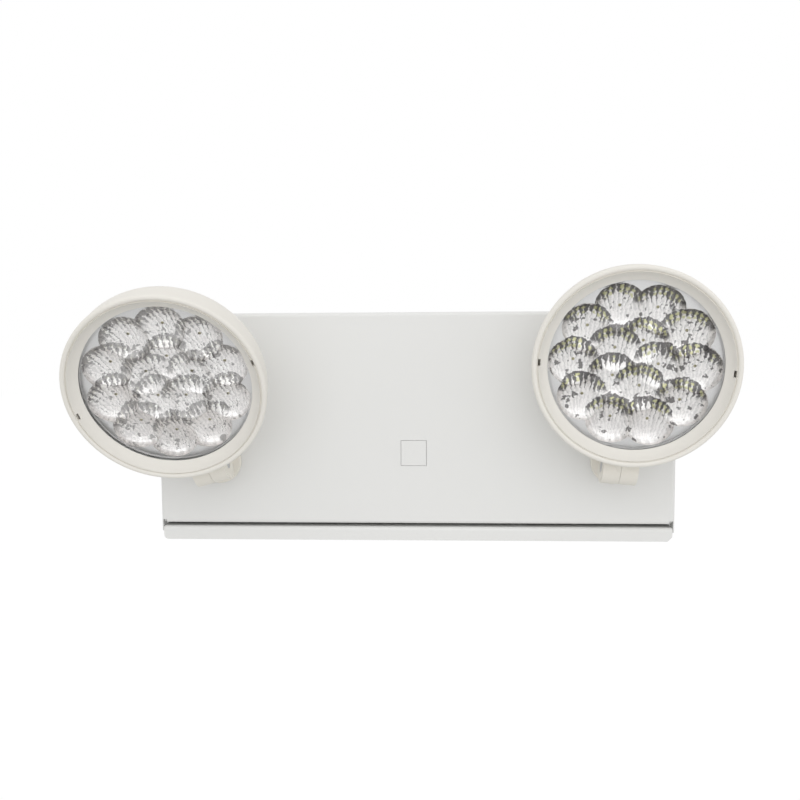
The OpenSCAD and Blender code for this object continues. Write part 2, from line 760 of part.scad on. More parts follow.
module front_cover() {
    w = case_w;
    inner = case_w - 2 * sheet_t;
    color([0.9, 0.9, 0.89]) difference() {
        union() {
            difference() {
                translate([0, face_y, 0]) mirror([0, 1, 0])
                    folded_block(w, flange_d, ear_low_z - bend_r, top_z, bend_r);
                translate([0, face_back_y, 0]) mirror([0, 1, 0])
                    folded_block(inner, case_d, ear_low_z - case_h, top_z - sheet_t, fold_in_r);
                translate([-inner / 2, face_y - over, ear_low_z - case_h])
                    cube([inner, flange_d + 2 * over, case_h - ear_low_z + cover_low_z + bend_r]);
                translate([-w, face_y - over, ear_low_z - case_h]) cube([2 * w, case_d, case_h]);
                ear_taper();
            }
            along_x() linear_extrude(lower_flange_w, center = true)
                translate([face_y, cover_low_z]) folded_angle(lower_flange_d, bend_r + over, sheet_t, bend_r);
        }
        for (x = [left, right])
            translate([x * swivel_x, 0, swivel_z])
                rod_y(stem_d + 2 * joint_play, face_y - over, face_back_y + over);
        translate([square_x, face_y - over, square_z]) rotate([-90, 0, 0])
            linear_extrude(sheet_t + 2 * over) square(square_side + 2 * knockout_gap, center = true);
        translate([0, hinge_y, hinge_z]) rod_x(hinge_pin_d + 2 * seat_gap, -case_w, case_w);
    }
    // Snap dimples pressed into the side flanges
    for (s = [left, right])
        color([0.9, 0.9, 0.89])
            translate([s * (inner / 2 + dimple_r - dimple_in), face_y + flange_d / 2, top_z - flange_d])
                intersection() {
                    sphere(r = dimple_r);
                    translate([-s * (dimple_r - dimple_in - sheet_t / 4), 0, 0])
                        cube([sheet_t / 2 + 2 * dimple_in, 2 * dimple_r, 2 * dimple_r], center = true);
                }
}
dimple_r = 3;
dimple_in = 0.3;
ear_slope_share = 0.6;

// The lower rear corner of each side flange is cut on a slope
module ear_taper() {
    along_x() linear_extrude(2 * case_w, center = true) polygon([
        [face_y + flange_d * ear_slope_share, ear_low_z - over],
        [face_y + flange_d + over, ear_low_z - over],
        [face_y + flange_d + over, cover_low_z + flange_d],
        [face_y + flange_d, cover_low_z + flange_d],
        [face_y + flange_d * ear_slope_share, ear_low_z + ear_drop / 2]
    ]);
}

module cover_knockout() {
    color([0.89, 0.89, 0.88]) translate([square_x - square_side / 2, face_y, square_z - square_side / 2])
        cube([square_side, sheet_t, square_side]);
}

module hinge_pins() {
    for (s = [left, right])
        color([0.7, 0.7, 0.72]) translate([0, hinge_y, hinge_z]) scale([s, 1, 1]) union() {
            rod_x(hinge_pin_d, inner_w / 2 - seat_gap - over, case_w / 2);
            rod_x(hinge_head_d, inner_w / 2 - seat_gap - hinge_head_t, inner_w / 2 - seat_gap);
        }
}

// Swivel: everything here is drawn with the tilt axis at the origin and the cover towards +Y

function swivel_of(side) = side == right ? right_swivel : left_swivel;
function tilt_of(side) = side == right ? right_tilt : left_tilt;
function pan_of(side) = side == right ? right_pan : left_pan;

module at_stem(side)
    translate([side * swivel_x, face_y - pivot_out, swivel_z]) rotate([0, -swivel_of(side), 0]) children();
module at_arm(side) at_stem(side) rotate([tilt_of(side), 0, 0]) children();
module at_head(side)
    at_arm(side) rotate([0, 0, pan_of(side)]) translate([0, -head_forward, head_up]) children();

foot_gap = 0.3;
stem_wall_gap = 0.3;
bar_length_share = 1.3;
bar_length = eye_d * bar_length_share;
stem_rear = 8;
swivel_nut_t = 5.5;
washer_t = 1;
washer_share = 1.6;
nut_share = 1.5;
eye_w = stem_d;

module swivel_stem(side) {
    foot_back = pivot_out - foot_gap;
    r = stem_d / 2;
    rim = foot_t / 3;
    color([0.87, 0.86, 0.83]) at_stem(side) difference() {
        union() {
            along_y() rotate_extrude() polygon([
                [0, bar_length], [r, bar_length], [r, foot_back - foot_t - rim], [r + rim, foot_back - foot_t],
                [foot_d / 2 - rim, foot_back - foot_t], [foot_d / 2, foot_back - foot_t + rim],
                [foot_d / 2, foot_back], [r, foot_back], [r, pivot_out + stem_rear], [0, pivot_out + stem_rear]
            ]);
            translate([-eye_w / 2, 0, -eye_bar_h / 2]) cube([eye_w, bar_length + over, eye_bar_h]);
            rod_x(eye_d, -eye_w / 2, eye_w / 2);
        }
        rod_x(arm_screw_d + 2 * joint_play, -stem_d, stem_d);
        rod_y(stem_bore_d, eye_d / 2 + over, case_d);
        translate([-stem_bore_d / 2 + over / 2, eye_d / 2 + over, 0])
            cube([stem_bore_d - over, eye_d / 2, eye_d]);
    }
}

module swivel_nut(side) {
    start = pivot_out + sheet_t + seat_gap;
    color([0.75, 0.75, 0.77]) at_stem(side) {
        difference() {
            rod_y(stem_d * washer_share, start, start + washer_t);
            rod_y(stem_d + 2 * seat_gap, start - over, start + case_d);
        }
        difference() {
            translate([0, start + washer_t + seat_gap, 0]) rotate([-90, 0, 0])
                cylinder(d = stem_d * nut_share / cos(30), h = swivel_nut_t, $fn = 6);
            rod_y(stem_d + 2 * seat_gap, start - over, start + case_d);
        }
    }
}

// Arm

seam = 0.15;
screw_side_gap = 0.2;
cavity_gap = 0.4;
cavity_d = eye_d + 2 * cavity_gap;
slot_half = eye_bar_h / 2 + stem_wall_gap;
tilt_stop = 85;
recess_d = arm_screw_d * 2;
recess_t = 1.7;
slot_half_w = 0.3;
nut_af = 7;
nut_t = 1.8;
pan_gap = 0.3;
boss_d = 20;
boss_t = 4.9;
flange_seat = pan_up + pan_gap + boss_t + pan_gap;

// The space that the stem's flat bar sweeps as the arm tips forward
module bar_sweep() {
    far = bar_length * 2;
    along_x() linear_extrude(eye_w + 2 * stem_wall_gap, center = true) polygon([
        [0, slot_half], [far, slot_half], [far, -far],
        [far * cos(tilt_stop) - slot_half * sin(tilt_stop), -far * sin(tilt_stop) - slot_half * cos(tilt_stop)],
        [-slot_half * sin(tilt_stop), -slot_half * cos(tilt_stop)]
    ]);
}

module arm_half(side, outer) {
    // The outer half is on the side away from the middle of the case
    s = outer ? side : -side;
    half = arm_w / 2;
    color([0.88, 0.87, 0.84]) at_arm(side) scale([s, 1, 1]) difference() {
        intersection() {
            union() {
                intersection() {
                    rod_x(barrel_d, -half, half);
                    translate([-arm_w, -barrel_d, -barrel_d])
                        cube([2 * arm_w, 2 * barrel_d, barrel_d + pan_up]);
                }
                translate([-half, -arm_d / 2, 0]) cube([arm_w, arm_d, pan_up - neck_flange_t]);
                rod_z(arm_w, 0, pan_up);
                rod_z(neck_d, pan_up - over, flange_seat + over / 2);
                rod_z(neck_flange_d, flange_seat, flange_seat + neck_flange_t);
            }
            translate([seam / 2, -case_d, -case_d]) cube(2 * case_d);
        }
        rod_x(cavity_d, -eye_w / 2 - stem_wall_gap, eye_w / 2 + stem_wall_gap);
        bar_sweep();
        rod_z(neck_bore_d, 0, head_up);
        rod_x(arm_screw_d + 2 * joint_play, -case_d, case_d);
        if (outer)
            rod_x(recess_d, half - recess_t, half + over);
        else
            translate([half - nut_t - seat_gap, 0, 0]) rotate([0, 90, 0])
                cylinder(d = (nut_af + 2 * seat_gap) / cos(30), h = nut_t + over, $fn = 6);
    }
}

module arm_screw(side) {
    half = arm_w / 2;
    color([0.66, 0.67, 0.69]) at_arm(side) scale([side, 1, 1]) {
        difference() {
            union() {
                rod_x(arm_screw_d, -half + seat_gap, half - recess_t + over);
                rod_x(recess_d - 2 * screw_side_gap, half - recess_t + seat_gap, half - seat_gap);
            }
            for (a = [0, 90])
                rotate([a, 0, 0])
                    translate([half - recess_t / 2, -recess_d * cross_long_share / 2, -slot_half_w])
                        cube([recess_t, recess_d * cross_long_share, 2 * slot_half_w]);
        }
        difference() {
            translate([-half + seat_gap, 0, 0]) rotate([0, 90, 0])
                cylinder(d = nut_af / cos(30), h = nut_t - seat_gap, $fn = 6);
            rod_x(arm_screw_d + seat_gap, -case_d, case_d);
        }
    }
}

// Head: drawn with its front face's centre at the origin and its back towards +Y

head_r = head_d / 2;
shell_r = head_r - shell_step;
seam_gap = 0.2;
lens_lap = 3.5;
lens_d = lens_view_d + 2 * lens_lap;
tube_out = shell_r - shell_t - pan_gap;
groove_w = 0.45;
groove_t = 0.5;
gasket_t = 0.9;
cup_front = lens_back + lens_t + gasket_t + 2 * seat_gap;
cup_plate_t = 1;
cup_wall = 0.8;
chip_h = 1.2;
cup_back_share = 1.9;
cup_back_d = chip_side * cup_back_share;
board_depth = cup_front + cup_depth + 2 * seat_gap + chip_h;
light_board_t = 1.6;
sink_plate_t = 2.4;
light_board_inset = 2;
light_board_d = lens_view_d - 2 * light_board_inset;
sink_plate_share = 0.88;
sink_fins_share = 0.7;
sink_fins_reach_share = 0.72;
post_gap = 0.2;
slot_place_share = 0.6;
head_screw_thick_share = 0.8;
sink_depth_at = board_depth + light_board_t + seat_gap;
post_d = 7;
post_ring_r = 20;
post_count = 3;
fin_count = 7;
head_screw_d = 2.9;

module revolved_about_y() along_y() rotate_extrude() children();

// Outline of the shell's outside, from the rim back to the flat rear
module shell_outline(r, start, back, corner) {
    difference() {
        translate([0, start]) square([r, back - start]);
        difference() {
            translate([r - corner, back - corner]) square(corner + over);
            translate([r - corner, back - corner]) circle(corner);
        }
    }
}

module post_places() {
    for (i = [0:post_count - 1])
        rotate([0, 90 + i * 360 / post_count, 0]) translate([post_ring_r, 0, 0]) children();
}

module at_neck() translate([0, head_forward, -head_up]) children();

module head_shell(side) {
    start = bezel_rim_d + seam_gap;
    low = pan_up + pan_gap;
    color([0.91, 0.9, 0.87]) at_head(side) difference() {
        union() {
            difference() {
                union() {
                    revolved_about_y() shell_outline(shell_r, start, head_depth, shell_round);
                    at_neck() rod_z(boss_d, low, head_up / 2);
                }
                revolved_about_y()
                    shell_outline(shell_r - shell_t, -over, head_depth - shell_t, shell_round - shell_t);
            }
            intersection() {
                at_neck() rod_z(boss_d, low, low + boss_t);
                revolved_about_y()
                    shell_outline(shell_r, cup_front + cup_plate_t + pan_gap, head_depth, shell_round);
            }
            at_neck() rod_z(boss_d, low, low + shell_t / 2);
            post_places() rod_y(post_d, sink_depth_at + sink_plate_t + seat_gap, head_depth - shell_t / 2);
        }
        at_neck() rod_z(neck_d + 2 * pan_gap, 0, head_up / 3);
        at_neck() rod_z(neck_flange_d + 2 * pan_gap, low + boss_t, low + boss_t + neck_flange_t * 3);
        post_places() rod_y(head_screw_d, 0, head_depth - shell_t);
    }
}

// Ring in front of the lens: a rounded lip, a fine groove and a hollow slope down to the lens
module bezel_outline() {
    lip_r = bezel_lip_w / 2;
    in_r = lens_view_d / 2;
    step_r = head_r - bezel_lip_w;
    edge = lens_back - seat_gap;
    seat_r = lens_d / 2 + pan_gap;
    tube_end = lens_back + lens_t + gasket_t;
    difference() {
        union() {
            translate([head_r - lip_r, lip_r]) circle(lip_r);
            translate([head_r - bezel_lip_w, lip_r]) square([bezel_lip_w, bezel_rim_d - lip_r]);
            polygon([[in_r, edge - groove_t], [step_r + seat_gap, groove_t], [step_r + lip_r, groove_t],
                [step_r + lip_r, bezel_rim_d], [tube_out, bezel_rim_d], [tube_out, tube_end],
                [seat_r, tube_end], [seat_r, edge], [in_r, edge]]);
        }
        translate([step_r - groove_w, -over]) square([groove_w, over + 2 * groove_t]);
    }
}

module bezel(side) {
    color([0.92, 0.91, 0.88]) at_head(side) rotate([0, -bezel_turn, 0]) difference() {
        revolved_about_y() bezel_outline();
        for (s = [left, right])
            translate([s * (head_r - bezel_lip_w - slot_w * slot_place_share), groove_t, 0])
                cube([slot_w, 2 * groove_t + 2 * sheet_t, slot_l], center = true);
    }
}

module lens(side) {
    color([0.93, 0.95, 0.96, 0.35]) at_head(side) rod_y(lens_d, lens_back, lens_back + lens_t);
}

module lens_gasket(side) {
    start = lens_back + lens_t + seat_gap;
    color([0.62, 0.62, 0.61]) at_head(side) difference() {
        rod_y(lens_d, start, start + gasket_t);
        rod_y(lens_view_d + 2 * sheet_t, start - over, start + gasket_t + over);
    }
}

module cup_places(ring) {
    n = ring == 0 ? inner_cups : outer_cups;
    r = ring == 0 ? inner_ring_r : outer_ring_r;
    for (i = [0:n - 1])
        rotate([0, i * 360 / n - bezel_turn, 0]) translate([r, 0, 0]) children();
}

// Cone of a cup, drawn smaller by the inset and run on ahead of its front and past its back
module cup_cone(ring, inset, ahead, past) {
    d = ring == 0 ? inner_cup_d : outer_cup_d;
    slope = (d - cup_back_d) / cup_depth;
    translate([0, cup_front - ahead, 0]) along_y() cylinder(d1 = d - 2 * inset + slope * ahead,
        d2 = cup_back_d - 2 * inset - slope * past, h = cup_depth + ahead + past);
}

module optic_cups(side) {
    color([0.82, 0.84, 0.86]) at_head(side) difference() {
        union() {
            rod_y(lens_d, cup_front, cup_front + cup_plate_t);
            for (ring = [0, 1]) cup_places(ring) cup_cone(ring, 0, -cup_plate_t / 2, 0);
        }
        for (ring = [0, 1]) cup_places(ring) cup_cone(ring, cup_wall, over, over);
    }
}

module light_board(side) {
    color([0.9, 0.91, 0.9]) at_head(side) difference() {
        rod_y(light_board_d, board_depth, board_depth + light_board_t);
        post_places() rod_y(head_screw_d + 2 * seat_gap, 0, head_depth);
    }
}

module light_chips(side) {
    color([0.95, 0.85, 0.4]) at_head(side) for (ring = [0, 1]) cup_places(ring)
        translate([-chip_side / 2, board_depth - seat_gap - chip_h, -chip_side / 2])
            cube([chip_side, chip_h, chip_side]);
}

module heat_sink(side) {
    fin_h = head_depth - shell_t - pan_gap - sink_depth_at;
    pitch = light_board_d * sink_fins_share / fin_count;
    color([0.6, 0.61, 0.63]) at_head(side) difference() {
        union() {
            rod_y(light_board_d * sink_plate_share, sink_depth_at, sink_depth_at + sink_plate_t);
            intersection() {
                for (i = [0:fin_count - 1])
                    translate([(i - (fin_count - 1) / 2) * pitch - sheet_t, sink_depth_at, -light_board_d / 2])
                        cube([2 * sheet_t, fin_h, light_board_d]);
                rod_y(light_board_d * sink_fins_reach_share, 0, head_depth);
            }
        }
        post_places() rod_y(post_d + 2 * post_gap, sink_depth_at + sink_plate_t, head_depth);
        post_places() rod_y(head_screw_d + 2 * seat_gap, 0, head_depth);
    }
}

module head_screws(side) {
    color([0.65, 0.66, 0.68]) at_head(side) post_places() translate([0, board_depth - seat_gap, 0])
        pan_screw(head_screw_d - 2 * seat_gap, light_board_t + sink_plate_t + 2 * sheet_t, screw_head_d,
            screw_head_t * head_screw_thick_share);
}

// Leads: each route is a list of points chosen by hand, counted from the pieces at its two ends

lead_d = 2.4;
plug_lead_share = 0.6;
plug_lead_low = 0.84;

function from(place, offsets) = [for (o = offsets) place + o];
function tab_at(s) = [battery_x + s * tab_x, battery_y, battery_top_z + seat_gap + tab_h];
function plug_at(i) = [board_x + (i - (plug_count - 1) / 2) * plug_pitch,
    board_front_y - plug_d * plug_lead_share, board_z - plug_row_share * board_h / 2 - plug_lead_low];
function hinge_at(x) = [x, hinge_y, hinge_z];
function stem_at(s) = [s * swivel_x, face_y, swivel_z];
coil_at = [core_x, core_y - core_stack / 2 - coil_out, core_z];
tag_at = [button_x - switch_body_w / 3, switch_y, ledge_z + switch_body_h - over + tag_h];
neck_at = [0, head_forward, -head_up];
// Where the leads cross from the box to the cover, on the hinge line
left_join_x = 4;
right_join_x = swivel_x + 4;

battery_red_route = concat(
    from(tab_at(right), [[0, 0, 0.2], [0, 0, 2.5], [0, 0, 5], [9, -7, 9], [31, -13, 1]]),
    from(plug_at(0), [[-71, -23, 32], [-47, -21, 10], [-25, -13, -6], [-9, -3, -10], [-1, 0, -7], [0, 0, 0]]));
battery_black_route = concat(
    from(tab_at(left), [[0, 0, 0.2], [0, 0, 3], [0, 0, 6], [7, -11, 10], [27, -19, 9], [55, -21, 3]]),
    from(tab_at(left), [[85, -23, -7]]),
    from(plug_at(1), [[-75, -31, 22], [-47, -27, 0], [-21, -15, -10], [-5, -3, -9], [0, 0, -6], [0, 0, 0]]));
switch_route = concat(
    from(tag_at, [[0, 0, 0.2], [0, 0, 3], [0, 0, 6], [8, 6, 14], [26, 12, 18]]),
    from(plug_at(2), [[-27, -27, -16], [-9, -17, -11], [-1, -5, -9], [0, 0, -5], [0, 0, 0]]));
transformer_route = concat(
    from(coil_at, [[12, -0.2, 7.6], [12, -2.5, 7.6], [12, -5, 7.6], [20, -9, 11.6], [28, -1, 15.6]]),
    from(plug_at(3), [[5, -11, -14], [1, -2, -9], [0, 0, -5], [0, 0, 0]]));
left_box_route = concat(
    from(plug_at(4), [[0, 0, 0], [0, 0, -5], [-3, -9, -10], [-17, -25, -12], [-33, -37, -18]]),
    from(hinge_at(left_join_x), [[62, 15, 22], [46, 4, 12], [32, 0, 4], [18, 0, 0], [9, 0, 0], [0.2, 0, 0]]));
right_box_route = concat(
    from(plug_at(5), [[0, 0, 0], [0, 0, -5], [3, -7, -14], [11, -21, -22], [14, -37, -28]]),
    from(hinge_at(plug_at(5)[0]), [[14, 13, 18], [12, 3, 12]]),
    from(hinge_at(right_join_x), [[18, 0, 4], [10, 0, 0], [5, 0, 0], [0.2, 0, 0]]));
// On the cover the leads go on from the same points of the hinge line, so they only twist there
left_cover_route = concat(
    from(hinge_at(left_join_x), [[0, 0, 0], [-10, 0, 0], [-20, 0, 0], [-54, 0, 0]]),
    from(hinge_at(-swivel_x), [[36, 0, 0], [18, 1, 1], [6, 5, 8]]),
    from(stem_at(left), [[0, 15, -16], [-1, 17, -7], [0, 13, 0], [0, 4, 0], [0, -4, 0]]));
right_cover_route = concat(
    from(hinge_at(right_join_x), [[0, 0, 0], [-5, 0, 0], [-10, 0, 0]]),
    from(hinge_at(swivel_x), [[-12, 2, 4], [-14, 7, 11]]),
    from(stem_at(right), [[-9, 16, -14], [-2, 17, -6], [0, 13, 0], [0, 4, 0], [0, -4, 0]]));
// Drawn in the head's own space, from the arm's hollow neck to the light board
head_route = concat(
    from(neck_at, [[0, 0, 7.3], [0, 0, 11.3], [0, -0.5, 15.3]]),
    from([0, board_depth, -head_up], [[0, -1.4, 19.3], [0, -1.4, 22.8]]));

module battery_lead_red() color([0.75, 0.1, 0.1]) lead(battery_red_route, lead_d);
module battery_lead_black() color([0.1, 0.1, 0.1]) lead(battery_black_route, lead_d);
module transformer_leads() color([0.85, 0.75, 0.2]) lead(transformer_route, lead_d);
module switch_leads() color([0.2, 0.3, 0.65]) lead(switch_route, lead_d);
module lamp_leads_in_box() color([0.8, 0.8, 0.78]) {
    lead(left_box_route, lead_d);
    lead(right_box_route, lead_d);
}
module lamp_leads_on_cover() color([0.8, 0.8, 0.78]) {
    lead(left_cover_route, lead_d);
    lead(right_cover_route, lead_d);
}
module head_lead(side) color([0.8, 0.8, 0.78]) at_head(side) lead(head_route, lead_d);

back_box();
box_knockouts();
earth_screw();
supply_terminals();
battery();
battery_terminals();
battery_strap();
box_screws();
battery_lead_red();
battery_lead_black();
charger_board();
board_standoffs();
board_relay();
board_capacitors();
board_heat_sink();
board_connectors();
transformer_core();
transformer_coil();
transformer_leads();
test_switch();
test_switch_nut();
test_button();
status_lamp();
status_lamp_clip();
switch_leads();
lamp_leads_in_box();
front_cover();
cover_knockout();
hinge_pins();
lamp_leads_on_cover();
swivel_stem(left);  // left_swivel_stem
swivel_nut(left);  // left_swivel_nut
arm_half(left, false);  // left_arm_inner_half
arm_half(left, true);  // left_arm_outer_half
arm_screw(left);  // left_arm_screw
head_shell(left);  // left_head_shell
bezel(left);  // left_bezel
lens(left);  // left_lens
lens_gasket(left);  // left_lens_gasket
optic_cups(left);  // left_optic_cups
light_board(left);  // left_light_board
light_chips(left);  // left_light_chips
heat_sink(left);  // left_heat_sink
head_screws(left);  // left_head_screws
head_lead(left);  // left_head_lead
swivel_stem(right);  // right_swivel_stem
swivel_nut(right);  // right_swivel_nut
arm_half(right, false);  // right_arm_inner_half
arm_half(right, true);  // right_arm_outer_half
arm_screw(right);  // right_arm_screw
head_shell(right);  // right_head_shell
bezel(right);  // right_bezel
lens(right);  // right_lens
lens_gasket(right);  // right_lens_gasket
optic_cups(right);  // right_optic_cups
light_board(right);  // right_light_board
light_chips(right);  // right_light_chips
heat_sink(right);  // right_heat_sink
head_screws(right);  // right_head_screws
head_lead(right);  // right_head_lead
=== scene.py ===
import math

import bpy
from mathutils import Matrix, Vector


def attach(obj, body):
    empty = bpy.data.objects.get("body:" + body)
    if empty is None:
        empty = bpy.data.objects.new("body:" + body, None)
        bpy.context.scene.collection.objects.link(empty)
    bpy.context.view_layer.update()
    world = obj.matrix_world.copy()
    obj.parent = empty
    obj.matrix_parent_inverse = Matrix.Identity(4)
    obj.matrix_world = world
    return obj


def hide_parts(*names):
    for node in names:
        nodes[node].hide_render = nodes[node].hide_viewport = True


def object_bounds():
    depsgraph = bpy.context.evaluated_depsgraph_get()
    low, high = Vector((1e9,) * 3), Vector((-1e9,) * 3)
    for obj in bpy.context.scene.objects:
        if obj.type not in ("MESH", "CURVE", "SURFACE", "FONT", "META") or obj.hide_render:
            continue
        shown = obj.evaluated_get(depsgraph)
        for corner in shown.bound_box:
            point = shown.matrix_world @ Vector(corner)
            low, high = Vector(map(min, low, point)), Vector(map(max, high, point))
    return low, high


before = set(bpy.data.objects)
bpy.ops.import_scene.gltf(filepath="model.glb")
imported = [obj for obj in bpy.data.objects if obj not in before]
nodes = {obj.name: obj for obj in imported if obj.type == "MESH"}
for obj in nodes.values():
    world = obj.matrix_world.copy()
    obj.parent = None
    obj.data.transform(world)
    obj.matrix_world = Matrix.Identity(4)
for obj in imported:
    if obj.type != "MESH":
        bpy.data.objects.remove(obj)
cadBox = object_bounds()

mm = 0.001
sides = {"left": -1, "right": 1}
print("frame loaded:", len(nodes), "nodes")


# Nodes of the materials and the world

def feed(tree, node, inputs):
    # sets inputs to values or to the sockets that feed them; n0 means the first input, other keys are names
    for key, value in inputs.items():
        byNumber = key[0] == "n" and key[1:].isdigit()
        socket = node.inputs[int(key[1:]) if byNumber else key.replace("_", " ")]
        if isinstance(value, bpy.types.NodeSocket):
            tree.links.new(value, socket)
        else:
            socket.default_value = value


def add(tree, kind, settings=None, **inputs):
    node = tree.nodes.new(kind)
    for key, value in (settings or {}).items():
        setattr(node, key, value)
    feed(tree, node, inputs)
    return node


def calc(tree, kind, *values, nodeKind="ShaderNodeMath"):
    inputs = {"n" + str(i): value for i, value in enumerate(values)}
    return add(tree, nodeKind, {"operation": kind}, **inputs).outputs[0]


def calcVector(tree, kind, *values):
    return calc(tree, kind, *values, nodeKind="ShaderNodeVectorMath")


def product(tree, first, *others):
    for value in others:
        first = calc(tree, "MULTIPLY", first, value)
    return first


def ramp(tree, value, low, high):
    # nought at low and one at high, with a soft change between them
    return add(tree, "ShaderNodeMapRange", {"interpolation_type": "SMOOTHSTEP"}, Value=value, From_Min=low,
        From_Max=high).outputs["Result"]


def blend(tree, share, first, second):
    # one colour where the share is nought, the other where it is one
    node = add(tree, "ShaderNodeMix", {"data_type": "RGBA"}, Factor=share)
    for label, value in (("A", first), ("B", second)):
        feed(tree, node, {label: value if isinstance(value, bpy.types.NodeSocket) else (*value, 1)})
    return node.outputs["Result"]


def objectPlace(tree):
    return add(tree, "ShaderNodeTexCoord").outputs["Object"]


def noise(tree, place, scale, roughness, detail=2.0):
    return add(tree, "ShaderNodeTexNoise", Vector=place, Scale=scale, Detail=detail, Roughness=roughness).outputs


def newGroup(name, takes, gives):
    # a node group, the sockets that it takes and the node that gives its results
    group = bpy.data.node_groups.new(name, "ShaderNodeTree")
    kinds = {"c": "NodeSocketColor", "f": "NodeSocketFloat", "v": "NodeSocketVector"}
    for label, kind, value in takes:
        group.interface.new_socket(label, in_out="INPUT", socket_type=kinds[kind]).default_value = value
    for label, kind in gives:
        group.interface.new_socket(label, in_out="OUTPUT", socket_type=kinds[kind])
    return group, group.nodes.new("NodeGroupInput").outputs, group.nodes.new("NodeGroupOutput")


def newMaterial(name):
    material = bpy.data.materials.new(name)
    material.use_nodes = True
    return material, material.node_tree, material.node_tree.nodes["Principled BSDF"]


# Camera and light

photoView = {
    "place": (24.8, -672.2, 71.4), "turn": 3.23, "dip": -5.38, "roll": 0.42, "lens": 45, "sensor": 36,
    "near": 0.01, "far": 30,
}


def turned(angle, axis):
    return Matrix.Rotation(math.radians(angle), 4, axis)


def placeCamera():
    data = bpy.data.cameras.new("photoCamera")
    data.lens = photoView["lens"]
    data.sensor_width = photoView["sensor"]
    data.clip_start, data.clip_end = photoView["near"], photoView["far"]
    eye = bpy.data.objects.new("photoCamera", data)
    bpy.context.scene.collection.objects.link(eye)
    aim = turned(photoView["turn"], "Z") @ turned(photoView["dip"], "X") @ turned(photoView["roll"], "Y")
    eye.matrix_world = Matrix.Translation(Vector(photoView["place"]) * mm) @ aim @ turned(90, "X")
    bpy.context.scene.camera = eye


lamps = {
    "overheadSoftbox": {"place": (-0.20, -0.85, 1.75), "size": 2.6, "power": 6.0},
    "frontSoftbox": {"place": (0.05, -2.10, 0.42), "size": 2.8, "power": 16.0},
    "sideCard": {"place": (1.40, -0.85, 0.10), "size": 1.2, "power": 2.0},
}
lampAim = (0, -0.08, 0)
room = {
    "fill": 0.72, "shown": 1.0, "floorDrop": 0.32, "floorSpan": 9.0, "floorTone": (0.70, 0.70, 0.695),
    "floorRoughness": 0.9, "floorShine": 0.1, "floorGlow": 0.95, "glowPower": 1.03,
}


def placeLamps():
    for name, lamp in lamps.items():
        data = bpy.data.lights.new(name, "AREA")
        data.shape = "SQUARE"
        data.size = lamp["size"]
        data.energy = lamp["power"]
        holder = bpy.data.objects.new(name, data)
        bpy.context.scene.collection.objects.link(holder)
        holder.location = lamp["place"]
        holder.rotation_euler = (Vector(lampAim) - Vector(lamp["place"])).to_track_quat("-Z", "Y").to_euler()


def shownToEye(tree):
    # one where the camera, a mirror or clear plastic looks at the surface, and nought for its light
    path = add(tree, "ShaderNodeLightPath").outputs
    direct = calc(tree, "MAXIMUM", path["Is Camera Ray"], path["Is Glossy Ray"])
    return calc(tree, "MAXIMUM", direct, path["Is Transmission Ray"])


def paintRoom():
    world = bpy.data.worlds.new("studioRoom")
    bpy.context.scene.world = world
    world.use_nodes = True
    tree = world.node_tree
    tree.nodes.clear()
    strength = add(tree, "ShaderNodeMapRange", Value=shownToEye(tree), To_Min=room["fill"], To_Max=room["shown"])
    back = add(tree, "ShaderNodeBackground", Color=(1, 1, 1, 1), Strength=strength.outputs["Result"])
    add(tree, "ShaderNodeOutputWorld", Surface=back.outputs[0])


def layFloor():
    bpy.ops.mesh.primitive_plane_add(size=room["floorSpan"], location=(0, 0, cadBox[0].z - room["floorDrop"]))
    floor = bpy.context.object
    floor.name = "studioFloor"
    bpy.ops.object.transform_apply(location=True, rotation=True, scale=True)
    paper, tree, base = newMaterial("floorPaper")
    feed(tree, base, {"Base Color": (*room["floorTone"], 1), "Roughness": room["floorRoughness"],
        "Specular IOR Level": room["floorShine"]})
    glow = add(tree, "ShaderNodeEmission", Strength=room["glowPower"])
    share = calc(tree, "MULTIPLY", shownToEye(tree), room["floorGlow"])
    mixed = add(tree, "ShaderNodeMixShader", Fac=share, n1=base.outputs[0], n2=glow.outputs[0])
    feed(tree, tree.nodes["Material Output"], {"Surface": mixed.outputs[0]})
    floor.data.materials.append(paper)


bpy.context.scene.view_settings.view_transform = "Standard"
bpy.ops.object.select_all(action="DESELECT")
placeCamera()
placeLamps()
paintRoom()
layFloor()
print("camera, lamps and floor placed")


# Finishes with a fine grain

grainSizes = {
    "slowScale": 26.0, "slowDetail": 3.0, "slowRoughness": 0.55, "fineRoughness": 0.6,
    "height": 0.2,  # mm, for the deepest grain
}


def makeGrain():
    # fine grain on a moulded or sprayed surface, with a slow change of tone under it
    g = grainSizes
    group, take, give = newGroup("surfaceGrain",
        [("Color", "c", (0.8, 0.8, 0.8, 1)), ("Roughness", "f", 0.5), ("Grain Size", "f", 0.6),
         ("Grain Depth", "f", 0.05), ("Mottle", "f", 0.02), ("Roughness Change", "f", 0.06)],
        [("Color", "c"), ("Roughness", "f"), ("Normal", "v")])
    place = objectPlace(group)
    grain = noise(group, place, calc(group, "DIVIDE", 1 / mm, take["Grain Size"]), g["fineRoughness"])["Fac"]
    slow = noise(group, place, g["slowScale"], g["slowRoughness"], g["slowDetail"])["Fac"]
    centre = calc(group, "SUBTRACT", slow, 0.5)
    change = calc(group, "MULTIPLY_ADD", centre, take["Mottle"], 1.0)
    tone = add(group, "ShaderNodeVectorMath", {"operation": "SCALE"}, n0=take["Color"], Scale=change)
    rough = calc(group, "MULTIPLY_ADD", centre, take["Roughness Change"], take["Roughness"])
    bump = add(group, "ShaderNodeBump", Height=grain, Distance=g["height"] * mm, Strength=take["Grain Depth"])
    feed(group, give, {"Color": tone.outputs[0], "Roughness": rough, "Normal": bump.outputs[0]})
    return group


grainGroup = makeGrain()


